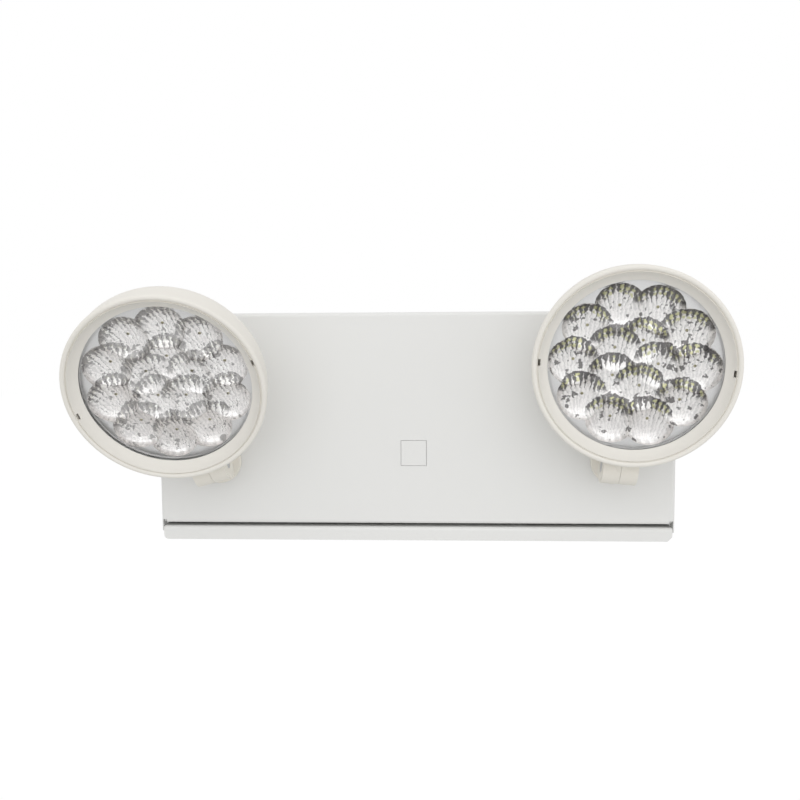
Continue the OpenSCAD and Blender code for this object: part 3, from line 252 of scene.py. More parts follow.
def finish(name, color, roughness, metallic=0.0, grain=0.6, depth=0.05, mottle=0.03, change=0.06, **sockets):
    # a finish of one colour with its grain; the other sockets of the shader are set by name
    paint, tree, base = newMaterial(name)
    skin = add(tree, "ShaderNodeGroup", {"node_tree": grainGroup}, Color=(*color, 1), Roughness=roughness,
        Grain_Size=grain, Grain_Depth=depth, Mottle=mottle, Roughness_Change=change).outputs
    feed(tree, base, {"Base Color": skin["Color"], "Roughness": skin["Roughness"], "Normal": skin["Normal"],
        "Metallic": metallic, **sockets})
    return paint


# colour, roughness and metallic share, then the grain's size in mm and its depth, and how much the tone (mottle)
# and the roughness (change) differ from place to place
finishSizes = {
    "cabinetPaint": ((0.795, 0.795, 0.780), 0.42, 0.0, {"grain": 0.5, "depth": 0.12, "mottle": 0.02}),
    "headPlastic": ((0.83, 0.805, 0.75), 0.42, 0.0, {"grain": 0.35, "depth": 0.06, "Specular_IOR_Level": 0.22}),
    "armPlastic": ((0.83, 0.80, 0.73), 0.42, 0.0, {"grain": 0.35, "depth": 0.08, "Specular_IOR_Level": 0.3}),
    "plainSteel": ((0.60, 0.61, 0.63), 0.32, 1.0, {"grain": 1.2, "depth": 0.05, "mottle": 0.2, "change": 0.25}),
    "brass": ((0.72, 0.54, 0.25), 0.3, 1.0, {"grain": 0.8, "depth": 0.04, "mottle": 0.15, "change": 0.2}),
    "aluminium": ((0.62, 0.63, 0.65), 0.4, 1.0, {"grain": 0.3, "depth": 0.1, "mottle": 0.1, "change": 0.2}),
    "coreSteel": ((0.10, 0.10, 0.11), 0.45, 0.6, {"grain": 0.4, "depth": 0.3, "mottle": 0.3}),
    "coilTape": ((0.62, 0.40, 0.08), 0.3, 0.0, {"grain": 0.5, "depth": 0.05, "mottle": 0.15}),
    "batteryCase": ((0.035, 0.035, 0.04), 0.45, 0.0, {"grain": 0.3, "depth": 0.25, "mottle": 0.2}),
    "boardGreen": ((0.02, 0.16, 0.06), 0.3, 0.0, {"grain": 0.4, "depth": 0.05, "mottle": 0.2}),
    "boardWhite": ((0.78, 0.79, 0.78), 0.35, 0.0, {"grain": 0.5, "depth": 0.03, "mottle": 0.04}),
    "relayBlue": ((0.03, 0.09, 0.30), 0.3, 0.0, {"grain": 0.4, "depth": 0.05, "mottle": 0.1}),
    "capacitorSleeve": ((0.03, 0.035, 0.06), 0.25, 0.0, {"grain": 0.6, "depth": 0.03, "mottle": 0.2}),
    "plugNylon": ((0.76, 0.71, 0.58), 0.45, 0.0, {"grain": 0.3, "depth": 0.06, "mottle": 0.06}),
    "darkPlastic": ((0.03, 0.03, 0.033), 0.45, 0.0, {"grain": 0.3, "depth": 0.15, "mottle": 0.2}),
    "gasketRubber": ((0.58, 0.58, 0.57), 0.6, 0.0, {"grain": 0.25, "depth": 0.2, "mottle": 0.1}),
    "buttonRed": ((0.55, 0.03, 0.025), 0.3, 0.0, {"grain": 0.4, "depth": 0.04, "mottle": 0.06}),
    "lampRed": ((0.55, 0.02, 0.015), 0.12, 0.0, {"grain": 1.5, "depth": 0.01, "mottle": 0.1, "Coat_Weight": 0.6}),
    "leadRed": ((0.50, 0.02, 0.02), 0.38, 0.0, {"grain": 0.5, "depth": 0.05, "mottle": 0.08}),
    "leadBlack": ((0.02, 0.02, 0.022), 0.38, 0.0, {"grain": 0.5, "depth": 0.05, "mottle": 0.2}),
    "leadYellow": ((0.68, 0.52, 0.05), 0.38, 0.0, {"grain": 0.5, "depth": 0.05, "mottle": 0.08}),
    "leadBlue": ((0.04, 0.10, 0.38), 0.38, 0.0, {"grain": 0.5, "depth": 0.05, "mottle": 0.08}),
    "leadWhite": ((0.72, 0.72, 0.69), 0.38, 0.0, {"grain": 0.5, "depth": 0.05, "mottle": 0.04}),
    "earthGreen": ((0.04, 0.30, 0.09), 0.3, 0.5, {"grain": 0.6, "depth": 0.05, "mottle": 0.1}),
    "chipYellow": ((0.60, 0.57, 0.36), 0.35, 0.0, {"grain": 0.3, "depth": 0.05, "mottle": 0.1}),
}
finishes = {name: finish(name, *plain, **grain) for name, (*plain, grain) in finishSizes.items()}


# The lens's clear plastic, with a slight haze

clearSizes = {
    "hazeScale": 40.0, "hazeRoughness": 0.5, "smooth": 0.01, "rough": 0.05, "light": (0.985, 0.99, 0.99),
    "dark": (0.96, 0.97, 0.975), "index": 1.15,
}


def clearPlastic():
    c = clearSizes
    clear, tree, base = newMaterial("clearLens")
    haze = noise(tree, objectPlace(tree), c["hazeScale"], c["hazeRoughness"])["Fac"]
    rough = add(tree, "ShaderNodeMapRange", Value=haze, To_Min=c["smooth"], To_Max=c["rough"]).outputs["Result"]
    feed(tree, base, {"Base Color": blend(tree, haze, c["light"], c["dark"]), "Roughness": rough,
        "Transmission Weight": 1.0, "IOR": c["index"]})
    return clear


finishes["clearLens"] = clearPlastic()


# Which finish each carried-over node takes; head parts are named without their side

nodeFinishes = {
    "cabinetPaint": ["back_box", "box_knockouts", "front_cover", "cover_knockout"],
    "armPlastic": ["swivel_stem", "arm_inner_half", "arm_outer_half"],
    "headPlastic": ["head_shell", "bezel"],
    "plainSteel": ["battery_terminals", "battery_strap", "box_screws", "test_switch_nut", "hinge_pins",
        "swivel_nut", "arm_screw", "head_screws"],
    "brass": ["board_standoffs"],
    "aluminium": ["board_heat_sink", "heat_sink"],
    "coreSteel": ["transformer_core"],
    "coilTape": ["transformer_coil"],
    "batteryCase": ["battery"],
    "boardGreen": ["charger_board"],
    "boardWhite": ["light_board"],
    "relayBlue": ["board_relay"],
    "capacitorSleeve": ["board_capacitors"],
    "plugNylon": ["board_connectors", "supply_terminals"],
    "darkPlastic": ["test_switch", "status_lamp_clip"],
    "gasketRubber": ["lens_gasket"],
    "buttonRed": ["test_button"],
    "lampRed": ["status_lamp"],
    "leadRed": ["battery_lead_red"],
    "leadBlack": ["battery_lead_black"],
    "leadYellow": ["transformer_leads"],
    "leadBlue": ["switch_leads"],
    "leadWhite": ["lamp_leads_in_box", "lamp_leads_on_cover", "head_lead"],
    "earthGreen": ["earth_screw"],
    "clearLens": ["lens"],
}


def dressNodes():
    for finishName, names in nodeFinishes.items():
        for name in names:
            for node in [name, "left_" + name, "right_" + name]:
                if node in nodes:
                    nodes[node].data.materials.clear()
                    nodes[node].data.materials.append(finishes[finishName])


dressNodes()
print("nodes dressed")


# Lines on wound, stacked and brushed metal, and the tracks of the charger board

lineSizes = {"edge": (0.3, 0.95), "tone": (0.0, 0.0, 0.0)}
trackSizes = {
    "patchScale": 110.0, "upShare": 0.5, "bareShare": 0.35, "edge": (0.35, 0.6), "tone": (0.05, 0.29, 0.11),
    "padScale": 260.0, "padEdge": (0.26, 0.20), "padShare": 0.6, "padTone": (0.62, 0.62, 0.58),
}


def makeLines():
    # thin lines across one direction, darker than the surface, with a height for the bump
    group, take, give = newGroup("layerLines",
        [("Color", "c", (0.5, 0.5, 0.5, 1)), ("Axis", "v", (0, 0, 1)), ("Pitch", "f", 0.5), ("Dark", "f", 0.4)],
        [("Color", "c"), ("Height", "f")])
    place = objectPlace(group)
    along = add(group, "ShaderNodeVectorMath", {"operation": "DOT_PRODUCT"}, n0=place, n1=take["Axis"])
    turns = calc(group, "MULTIPLY", along.outputs["Value"], calc(group, "DIVIDE", math.tau / mm, take["Pitch"]))
    line = ramp(group, calc(group, "SINE", turns), *lineSizes["edge"])
    tone = blend(group, calc(group, "MULTIPLY", line, take["Dark"]), take["Color"], lineSizes["tone"])
    feed(group, give, {"Color": tone, "Height": calc(group, "SUBTRACT", 1.0, line)})
    return group


def makeTracks():
    # tracks that run across or up in square patches, and round pads between them
    t = trackSizes
    group, take, give = newGroup("boardTracks", [("Color", "c", (0.02, 0.16, 0.06, 1)), ("Pitch", "f", 1.8)],
        [("Color", "c"), ("Height", "f")])
    place = objectPlace(group)
    patch = add(group, "ShaderNodeTexVoronoi", {"distance": "CHEBYCHEV"}, Vector=place, Scale=t["patchScale"])
    pick = add(group, "ShaderNodeSeparateColor", Color=patch.outputs["Color"]).outputs
    axes = add(group, "ShaderNodeSeparateXYZ", Vector=place).outputs
    step = calc(group, "DIVIDE", math.tau / mm, take["Pitch"])
    upLines, acrossLines = [ramp(group, calc(group, "SINE", product(group, axes[name], step)), *t["edge"])
        for name in "XZ"]
    side = calc(group, "GREATER_THAN", pick["Red"], t["upShare"])
    track = calc(group, "ADD", product(group, upLines, side),
        product(group, acrossLines, calc(group, "SUBTRACT", 1.0, side)))
    track = product(group, track, calc(group, "GREATER_THAN", pick["Green"], t["bareShare"]))
    pads = add(group, "ShaderNodeTexVoronoi", Vector=place, Scale=t["padScale"]).outputs
    chance = add(group, "ShaderNodeSeparateColor", Color=pads["Color"]).outputs["Red"]
    kept = calc(group, "GREATER_THAN", chance, t["padShare"])
    pad = product(group, ramp(group, pads["Distance"], *t["padEdge"]), kept)
    tone = blend(group, pad, blend(group, track, take["Color"], t["tone"]), t["padTone"])
    feed(group, give, {"Color": tone, "Height": calc(group, "MAXIMUM", track, pad)})
    return group


lineGroups = {"lines": makeLines(), "tracks": makeTracks()}
# the group that each finish takes, the height of its pattern in mm, and the group's own inputs with pitches in mm
lineFinishes = {
    "coilTape": ("lines", 0.25, {"Axis": (0, 0, 1), "Pitch": 1.1, "Dark": 0.35}),
    "coreSteel": ("lines", 0.20, {"Axis": (0, 1, 0), "Pitch": 0.9, "Dark": 0.45}),
    "aluminium": ("lines", 0.04, {"Axis": (0, 0, 1), "Pitch": 0.45, "Dark": 0.12}),
    "boardGreen": ("tracks", 0.03, {"Pitch": 1.8}),
}


def drawLines():
    for finishName, (kind, height, shares) in lineFinishes.items():
        tree = finishes[finishName].node_tree
        base = tree.nodes["Principled BSDF"]
        tone, normal = [base.inputs[name].links[0].from_socket for name in ("Base Color", "Normal")]
        lines = add(tree, "ShaderNodeGroup", {"node_tree": lineGroups[kind]}, Color=tone, **shares).outputs
        rise = add(tree, "ShaderNodeBump", Distance=height * mm, Height=lines["Height"], Normal=normal)
        feed(tree, base, {"Base Color": lines["Color"], "Normal": rise.outputs["Normal"]})


drawLines()
print("lines and tracks drawn")


# Ways of making that several pieces share

weldGap = 0.002  # mm, where a profile's last ring meets its first


def selectOnly(*pieces):
    # leaves edit mode and selects these pieces alone, the first of them active
    if bpy.context.object and bpy.context.object.mode != "OBJECT":
        bpy.ops.object.mode_set(mode="OBJECT")
    bpy.ops.object.select_all(action="DESELECT")
    for piece in pieces:
        piece.select_set(True)
    if pieces:
        bpy.context.view_layer.objects.active = pieces[0]


def applyPlace():
    bpy.ops.object.transform_apply(location=True, rotation=True, scale=True)


def makeBlock(size, place=(0, 0, 0)):
    # a box of a given size round a place, in mm
    selectOnly()
    bpy.ops.mesh.primitive_cube_add(size=1, location=[value * mm for value in place],
        scale=[value * mm for value in size])
    applyPlace()
    return bpy.context.object


def turnRings(name, rings, count, filled=False):
    # a circle round the Y axis, drawn out and scaled from ring to ring; rings are (radius, depth) in mm
    selectOnly()
    r, y = rings[0]
    bpy.ops.mesh.primitive_circle_add(vertices=count, radius=r * mm, location=(0, y * mm, 0),
        rotation=(math.pi / 2, 0, 0), fill_type="NGON" if filled else "NOTHING")
    piece = bpy.context.object
    piece.name = name
    applyPlace()
    bpy.ops.object.mode_set(mode="EDIT")
    bpy.ops.mesh.select_all(action="SELECT")
    drawOut = bpy.ops.mesh.extrude_region_move if filled else bpy.ops.mesh.extrude_edges_move
    for nextR, nextY in rings[1:]:
        drawOut(TRANSFORM_OT_translate={"value": (0, (nextY - y) * mm, 0)})
        bpy.ops.transform.resize(value=(nextR / r, 1, nextR / r), center_override=(0, nextY * mm, 0))
        r, y = nextR, nextY
    bpy.ops.mesh.select_all(action="SELECT")
    bpy.ops.mesh.remove_doubles(threshold=weldGap * mm)
    bpy.ops.mesh.normals_make_consistent(inside=False)
    bpy.ops.object.mode_set(mode="OBJECT")
    return piece


def arc(centre, radius, start, end, steps):
    # points of an arc, its angles in degrees from the radial direction towards the depth
    angles = [math.radians(start + (end - start) * i / steps) for i in range(steps + 1)]
    return [(centre[0] + radius * math.cos(a), centre[1] + radius * math.sin(a)) for a in angles]


def cutWith(piece, cutter, crossing=False):
    # the cutter is used up; crossing tells that its own parts run into each other
    selectOnly(piece)
    knife = piece.modifiers.new("cut", "BOOLEAN")
    knife.operation = "DIFFERENCE"
    knife.solver = "EXACT"
    knife.use_self = crossing
    knife.object = cutter
    bpy.ops.object.modifier_apply(modifier=knife.name)
    bpy.data.objects.remove(cutter)


def copyOf(piece, name):
    twin = piece.copy()
    twin.data = piece.data.copy()
    twin.name = name
    bpy.context.scene.collection.objects.link(twin)
    return twin


def joinAll(pieces, name):
    selectOnly(*pieces)
    if len(pieces) > 1:
        bpy.ops.object.join()
    whole = bpy.context.object
    whole.name = name
    applyPlace()
    return whole


def softenEdges(piece, width):
    selectOnly(piece)
    applyPlace()
    bpy.ops.object.mode_set(mode="EDIT")
    bpy.ops.mesh.select_all(action="SELECT")
    bpy.ops.mesh.bevel(offset=width * mm, segments=2, clamp_overlap=True)
    bpy.ops.object.mode_set(mode="OBJECT")


def settle(piece, place, body, finishName, smooth=35.0, covers=()):
    # moves the mesh to its place, and gives it its finish and the body that carries it
    selectOnly(piece)
    piece.matrix_world = place
    applyPlace()
    if smooth:
        bpy.ops.object.shade_smooth_by_angle(angle=math.radians(smooth))
    piece.data.materials.clear()
    piece.data.materials.append(finishes[finishName])
    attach(piece, body)
    if covers:
        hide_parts(*covers)


# Bezel: rounded lip, fine groove, hollow slope and the tube that goes into the shell

bezelSizes = {
    "outer": 55.0, "lip": 2.9, "lipSteps": 14, "rim": 3.0, "rimEdge": 0.35,
    "grooveWide": 0.6, "grooveFront": 0.7, "grooveDeep": 1.4, "grooveDraft": 0.05,
    "opening": 46.5, "depth": 5.8, "slopeGap": 0.06, "slopeFront": 0.55, "steps": 10,
    "hollow": 0.35, "hollowOut": 0.6, "hollowBack": 0.8,
    "tubeOut": 51.7, "tubeIn": 50.3, "tubeEnd": 9.3, "ledge": 6.3, "ledgeEdge": 0.15, "count": 160,
    "slotWide": 1.5, "slotLong": 3.8, "slotIn": 1.0, "slotDeep": 7.0, "slotOver": 2.0,
}


def bezelProfile():
    # from the opening up the slope, round the groove and the lip, and back along the tube
    b = bezelSizes
    lipR = b["lip"] / 2
    step = b["outer"] - b["lip"]
    slopeOut, slopeFront = step - b["grooveWide"] - b["slopeGap"], b["slopeFront"]
    slope = []
    for i in range(b["steps"] + 1):
        t = i / b["steps"]
        sag = b["hollow"] * math.sin(math.pi * t)
        slope.append((b["opening"] + (slopeOut - b["opening"]) * t + sag * b["hollowOut"],
            b["depth"] + (slopeFront - b["depth"]) * t + sag * b["hollowBack"]))
    lip = arc((b["outer"] - lipR, lipR), lipR, 180, 360, b["lipSteps"])
    groove = [(step - b["grooveWide"], b["grooveFront"]),
        (step - b["grooveWide"] + b["grooveDraft"], b["grooveDeep"]), (step, b["grooveDeep"])]
    back = [(b["outer"], b["rim"] - b["rimEdge"]), (b["outer"] - b["rimEdge"], b["rim"]), (b["tubeOut"], b["rim"]),
        (b["tubeOut"], b["tubeEnd"]), (b["tubeIn"], b["tubeEnd"]), (b["tubeIn"], b["ledge"]),
        (b["opening"] + b["ledgeEdge"], b["ledge"]), (b["opening"], b["ledge"] - b["ledgeEdge"])]
    return slope + groove + lip[1:] + back


def makeBezel():
    b = bezelSizes
    profile = bezelProfile()
    ring = turnRings("bezel", profile + [profile[0]], b["count"])
    at = b["outer"] - b["lip"] - b["slotIn"]
    slot = (b["slotWide"], b["slotDeep"] + b["slotOver"], b["slotLong"])
    for s in (-1, 1):
        cutWith(ring, makeBlock(slot, (s * at, b["slotDeep"] / 2, 0)))
    return ring


# Lens: a clear disc with a fine ring moulded near its edge

lensSizes = {
    "radius": 50.0, "front": 6.4, "back": 8.4, "edge": 0.2, "middle": 1.0, "ridge": 45.6, "ridgeWide": 0.5,
    "ridgeHigh": 0.25, "ridgeTop": 0.7, "ridgeFoot": 0.5, "count": 128,
}


def makeLens():
    s = lensSizes
    ridgeFront = s["front"] - s["ridgeHigh"]
    rings = [(s["middle"], s["back"]), (s["radius"] - s["edge"], s["back"]), (s["radius"], s["back"] - s["edge"]),
        (s["radius"], s["front"] + s["edge"]), (s["radius"] - s["edge"], s["front"]),
        (s["ridge"] + s["ridgeWide"], s["front"]), (s["ridge"] + s["ridgeWide"] * s["ridgeTop"], ridgeFront),
        (s["ridge"], ridgeFront), (s["ridge"] - s["ridgeWide"] * s["ridgeFoot"], s["front"]),
        (s["middle"], s["front"])]
    return turnRings("lens", rings, s["count"], filled=True)


# Optics: one bright plate with fifteen cups that run into each other, and a hole for the light in each

opticSizes = {
    "plate": 50.1, "front": 9.6, "back": 19.0, "middle": 0.5, "wallFront": 8.55, "wallIn": 46.7, "wallOut": 47.3,
    "count": 96, "cup": 14.0, "cupHigh": 15.8, "cupDeep": 7.2, "cupSides": 24, "cupRings": 16, "lean": 20.0,
    "outerRing": 32.6, "innerRing": 13.2, "outerCount": 10, "innerCount": 5,
    "hole": 0.9, "holeSides": 12, "holeLong": 12, "holeBack": 8, "plateFace": 0.02,
}


def cupCentres():
    o = opticSizes
    places = []
    for ring, count in (("innerRing", o["innerCount"]), ("outerRing", o["outerCount"])):
        for i in range(count):
            a = math.radians(i * 360 / count)
            places.append((o[ring] * math.cos(a), o[ring] * math.sin(a)))
    return places


def makeCup():
    o = opticSizes
    selectOnly()
    bpy.ops.mesh.primitive_uv_sphere_add(segments=o["cupSides"], ring_count=o["cupRings"], radius=1,
        location=(0, 0, 0), scale=(o["cup"] * mm, o["cupHigh"] * mm, o["cupDeep"] * mm))
    applyPlace()
    bpy.context.object.rotation_euler = (math.pi / 2 + math.radians(o["lean"]), 0, 0)
    applyPlace()
    return bpy.context.object


def makeOptics():
    # the cups lean back at the top, so that each one's upper edge shows as an arc over the one above it
    o = opticSizes
    plate = turnRings("optics", [(o["middle"], o["back"]), (o["plate"], o["back"]), (o["plate"], o["front"]),
        (o["wallOut"], o["front"]), (o["wallOut"], o["wallFront"]), (o["wallIn"], o["wallFront"]),
        (o["wallIn"], o["front"]), (o["middle"], o["front"])], o["count"], filled=True)
    cup = makeCup()
    cups = []
    for x, z in cupCentres():
        twin = copyOf(cup, "cup")
        twin.matrix_world = Matrix.Translation(Vector((x, o["front"], z)) * mm)
        cups.append(twin)
        selectOnly()
        bpy.ops.mesh.primitive_cylinder_add(vertices=o["holeSides"], radius=o["hole"] * mm,
            depth=o["holeLong"] * mm, location=(x * mm, (o["front"] + o["holeBack"]) * mm, z * mm),
            rotation=(math.pi / 2, 0, 0))
        cups.append(bpy.context.object)
    bpy.data.objects.remove(cup)
    cutWith(plate, joinAll(cups, "cups"), crossing=True)
    markCups(plate)
    return plate


def markCups(plate):
    # keeps each corner's place across and up the plate in mm, and whether its face is in a cup, for the material
    o = opticSizes
    spot = plate.data.attributes.new("cupPlace", "FLOAT_VECTOR", "CORNER")
    for face in plate.data.polygons:
        inCup = 1.0 if o["front"] + o["plateFace"] < face.center.y / mm < o["back"] - o["plateFace"] else 0.0
        for corner in face.loop_indices:
            point = plate.data.vertices[plate.data.loops[corner].vertex_index].co / mm
            spot.data[corner].vector = (point.x, point.z, inCup)


# Painted reflections in the cups: flutes that fan up each one, with dark fringes and yellow spots under the upper
# edge

# grey and yellow reflections and a painted highlight (glint); only the plate's tone is its own colour
# the tones of the painted reflections and shade in the cups: the flutes' painted lit and shaded sides, painted
# dark,
fluteTones = {
    "light": (0.95, 0.92, 0.905), "paintedShade": (0.68, 0.66, 0.65), "plate": (0.64, 0.63, 0.625),
    "dark": (0.085, 0.080, 0.082), "greyReflection": (0.20, 0.19, 0.187), "yellow": (0.62, 0.61, 0.33),
    "paintedGlint": (1.0, 0.99, 0.97),
}
# count: flutes in a full turn round a point that lies fanLow below the cup's middle, in halves of the cup's height;
# wide and high: from a cup's middle to its edge in mm; the others are for the noises
fluteSizes = {
    "count": 84, "fanLow": 2.2, "wide": 13.8, "high": 12.6, "stirScale": 520.0, "stirRoughness": 0.65,
    "brokenScale": 250.0, "brokenRoughness": 0.7, "patchScale": 230.0, "grainScale": 700.0, "fineRoughness": 0.6,
}


def findCup(group, spot):
    # the place, from -1 to 1, in the lowest cup that reaches a point, and that cup's number; the lowest lies on top
    f = fluteSizes
    found = None
    for number, (x, z) in enumerate(sorted(cupCentres(), key=lambda centre: -centre[1])):
        own = calcVector(group, "MULTIPLY_ADD", spot, (1 / f["wide"], 1 / f["high"], 0.0),
            (-x / f["wide"], -z / f["high"], 0.0))
        tagged = calcVector(group, "ADD", own, (0.0, 0.0, float(number)))
        if found is None:
            found = tagged
            continue
        length = add(group, "ShaderNodeVectorMath", {"operation": "LENGTH"}, n0=own).outputs["Value"]
        near = calc(group, "LESS_THAN", length, 1.0)
        found = add(group, "ShaderNodeMix", {"data_type": "VECTOR"}, Factor=near, n4=found, n5=tagged).outputs[1]
    return found


def readCup(group, take):
    # where a point lies in its cup and in its flute, three chances that each flute draws, and three noises
    f = fluteSizes
    place = objectPlace(group)
    spot = add(group, "ShaderNodeAttribute", {"attribute_name": "cupPlace"}).outputs["Vector"]
    stir = noise(group, place, f["stirScale"], f["stirRoughness"])["Color"]
    shift = calcVector(group, "MULTIPLY_ADD", stir, (f["wide"], f["wide"], 0.0),
        (-f["wide"] / 2, -f["wide"] / 2, 0.0))
    shift = add(group, "ShaderNodeVectorMath", {"operation": "SCALE"}, n0=shift, Scale=take["Stir"]).outputs[0]
    moved = calcVector(group, "ADD", spot, shift)
    part = add(group, "ShaderNodeSeparateXYZ", Vector=findCup(group, moved)).outputs
    across, up = part["X"], part["Y"]
    angle = calc(group, "ARCTAN2", across, calc(group, "ADD", up, f["fanLow"]))
    turns = calc(group, "MULTIPLY", angle, f["count"] / math.tau)
    flute = calc(group, "ROUND", turns)
    local = calc(group, "SUBTRACT", turns, flute)
    radius = calc(group, "SQRT", calc(group, "MULTIPLY_ADD", across, across, calc(group, "MULTIPLY", up, up)))
    key = add(group, "ShaderNodeCombineXYZ", X=flute, Y=part["Z"], Z=0.0)
    chance = add(group, "ShaderNodeTexWhiteNoise", {"noise_dimensions": "3D"}, Vector=key.outputs[0])
    drawn = add(group, "ShaderNodeSeparateColor", Color=chance.outputs["Color"]).outputs
    return {
        "inCup": add(group, "ShaderNodeSeparateXYZ", Vector=spot).outputs["Z"], "up": up, "local": local,
        "edge": calc(group, "ABSOLUTE", local), "inside": calc(group, "SUBTRACT", 1.0, radius),
        "first": drawn["Red"], "second": drawn["Green"], "third": drawn["Blue"],
        "broken": noise(group, place, f["brokenScale"], f["brokenRoughness"])["Fac"],
        "patch": noise(group, place, f["patchScale"], f["fineRoughness"])["Fac"],
        "grain": noise(group, place, f["grainScale"], f["fineRoughness"])["Fac"],
    }


fluteShadeSizes = {
    "pull": 1.6, "middle": 0.8, "side": (-0.25, 0.35), "lightShare": 0.7, "least": 0.3,
    "broken": (0.50, 0.60), "brokenShare": 0.6, "patch": (0.615, 0.635),
}


def paintBody(group, take, cup):
    # each flute has a painted lit side and a painted shaded side, and a few dark reflections are painted low in the
    # cups
    f = fluteShadeSizes
    t = fluteTones
    side = calc(group, "MULTIPLY_ADD", cup["grain"], f["pull"], calc(group, "SUBTRACT", cup["local"], f["middle"]))
    share = calc(group, "MULTIPLY_ADD", ramp(group, side, *f["side"]), f["lightShare"], f["least"])
    body = blend(group, share, t["paintedShade"], t["light"])
    # broken patches of painted light lie over the flutes
    broken = product(group, ramp(group, cup["broken"], *f["broken"]), f["brokenShare"])
    patch = product(group, ramp(group, cup["patch"], *f["patch"]), take["Fringe"])
    return blend(group, patch, blend(group, broken, body, t["light"]), t["greyReflection"])


darkReflectionFringe = {
    "upper": (0.0, 0.3), "least": 0.3, "power": 1.7, "half": 0.5, "edge": (-0.04, 0.04), "grain": (0.28, 0.36),
}


def paintFringe(group, take, cup, body):
    # a painted dark reflection under the upper edge, as a fringe: it narrows to the flutes' borders, each to its
    # own depth
    f = darkReflectionFringe
    depth = calc(group, "MULTIPLY_ADD", cup["first"], take["Reach"], f["least"])
    reach = calc(group, "MAXIMUM", calc(group, "DIVIDE", cup["inside"], depth), 0.0)
    taper = calc(group, "MULTIPLY", calc(group, "POWER", reach, f["power"]), f["half"])
    fringe = product(group, ramp(group, calc(group, "SUBTRACT", cup["edge"], taper), *f["edge"]),
        ramp(group, cup["up"], *f["upper"]), ramp(group, cup["grain"], *f["grain"]), take["Fringe"])
    return blend(group, fringe, body, blend(group, cup["second"], fluteTones["dark"], fluteTones["greyReflection"]))


reflectedLineSizes = {
    "edge": (0.40, 0.47), "chance": 0.35, "up": (-0.6, 0.0), "broken": (0.42, 0.5), "share": 0.7,
    "streakMiddle": 0.12, "streakEdge": (0.14, 0.06), "streakChance": 0.45, "streakBroken": (0.47, 0.53),
}


def paintLines(group, take, cup, body):
    # painted dark reflections in thin lines between some flutes, longer than the fringe, and painted highlight
    # streaks along others
    f = reflectedLineSizes
    line = product(group, ramp(group, cup["edge"], *f["edge"]),
        calc(group, "GREATER_THAN", cup["third"], f["chance"]))
    long = product(group, ramp(group, calc(group, "ADD", cup["up"], take["Lines"]), *f["up"]),
        ramp(group, cup["broken"], *f["broken"]))
    body = blend(group, product(group, line, long, f["share"]), body, fluteTones["dark"])
    away = calc(group, "ABSOLUTE", calc(group, "SUBTRACT", cup["local"], f["streakMiddle"]))
    streak = product(group, ramp(group, away, *f["streakEdge"]),
        calc(group, "GREATER_THAN", cup["third"], f["streakChance"]))
    long = product(group, ramp(group, cup["broken"], *f["streakBroken"]), take["Streaks"])
    return blend(group, product(group, streak, long), body, fluteTones["paintedGlint"])


# the spots are painted yellow reflections; each row of them is given by its depth under the cup's edge and its
# height
yellowReflectionSpots = {
    "rows": ((0.13, 0.085), (0.34, 0.07)), "jitter": 0.08, "wide": 0.36, "edge": (1.0, 0.75), "up": (0.22, 0.4),
    "chance": 0.25,
}


def paintSpots(group, take, cup, body):
    f = yellowReflectionSpots
    for row, high in f["rows"]:
        middle = calc(group, "MULTIPLY_ADD", cup["second"], f["jitter"], row)
        away = calc(group, "DIVIDE", calc(group, "SUBTRACT", cup["inside"], middle), high)
        wide = calc(group, "DIVIDE", cup["local"], f["wide"])
        near = calc(group, "SQRT", calc(group, "MULTIPLY_ADD", away, away, calc(group, "MULTIPLY", wide, wide)))
        spots = product(group, ramp(group, near, *f["edge"]), ramp(group, cup["up"], *f["up"]),
            calc(group, "GREATER_THAN", cup["third"], f["chance"]), take["Spots"])
        body = blend(group, spots, body, fluteTones["yellow"])
    return body


# the group draws the painted reflections and shade in the cups, and the plate's own tone round them
def makeFlutes():
    group, take, give = newGroup("cupPaintedReflections", [("Fringe", "f", 1.0), ("Reach", "f", 0.5), ("Spots", "f", 1.0),
        ("Streaks", "f", 0.3), ("Lines", "f", 0.0), ("Stir", "f", 0.2)], [("Color", "c")])
    cup = readCup(group, take)
    body = paintBody(group, take, cup)
    for paint in (paintFringe, paintLines, paintSpots):
        body = paint(group, take, cup, body)
    # the plate round the cups stays plain
    plain = calc(group, "LESS_THAN", cup["inCup"], 0.5)
    feed(group, give, {"Color": blend(group, plain, body, fluteTones["plate"])})
    return group


flutes = makeFlutes()
opticShine = {"Metallic": 0.8, "Roughness": 0.38}
# the painted reflections come in two copies, for how each head is seen: the right head is seen almost square on,
# the left one from above, which shows more of the flutes' light sides
paintedReflectionShares = {
    "rightOptic": {"Fringe": 0.95, "Reach": 0.5, "Spots": 0.8, "Streaks": 0.5, "Lines": 0.0, "Stir": 0.24},
    "leftOptic": {"Fringe": 0.62, "Reach": 0.45, "Spots": 0.08, "Streaks": 1.0, "Lines": 0.9, "Stir": 0.30},
}


def brightOptic(name):
    shine, tree, base = newMaterial(name)
    cup = add(tree, "ShaderNodeGroup", {"node_tree": flutes}, **paintedReflectionShares[name])
    feed(tree, base, {"Base Color": cup.outputs["Color"], **opticShine})
    return shine


for opticName in paintedReflectionShares:
    finishes[opticName] = brightOptic(opticName)
print("cup pattern made")


# Light chips: a yellow square with soft edges behind the hole of each cup

chipSizes = {"side": 3.5, "front": 18.9, "back": 20.1, "edge": 0.15}


def makeChips():
    c = chipSizes
    chip = makeBlock((c["side"], c["back"] - c["front"], c["side"]), (0, (c["front"] + c["back"]) / 2, 0))
    softenEdges(chip, c["edge"])
    chips = []
    for x, z in cupCentres():
        twin = copyOf(chip, "chip")
        twin.location = (x * mm, 0, z * mm)
        chips.append(twin)
    bpy.data.objects.remove(chip)
    return joinAll(chips, "chips")


# Small parts soldered to the charger board; their places are across and up the board

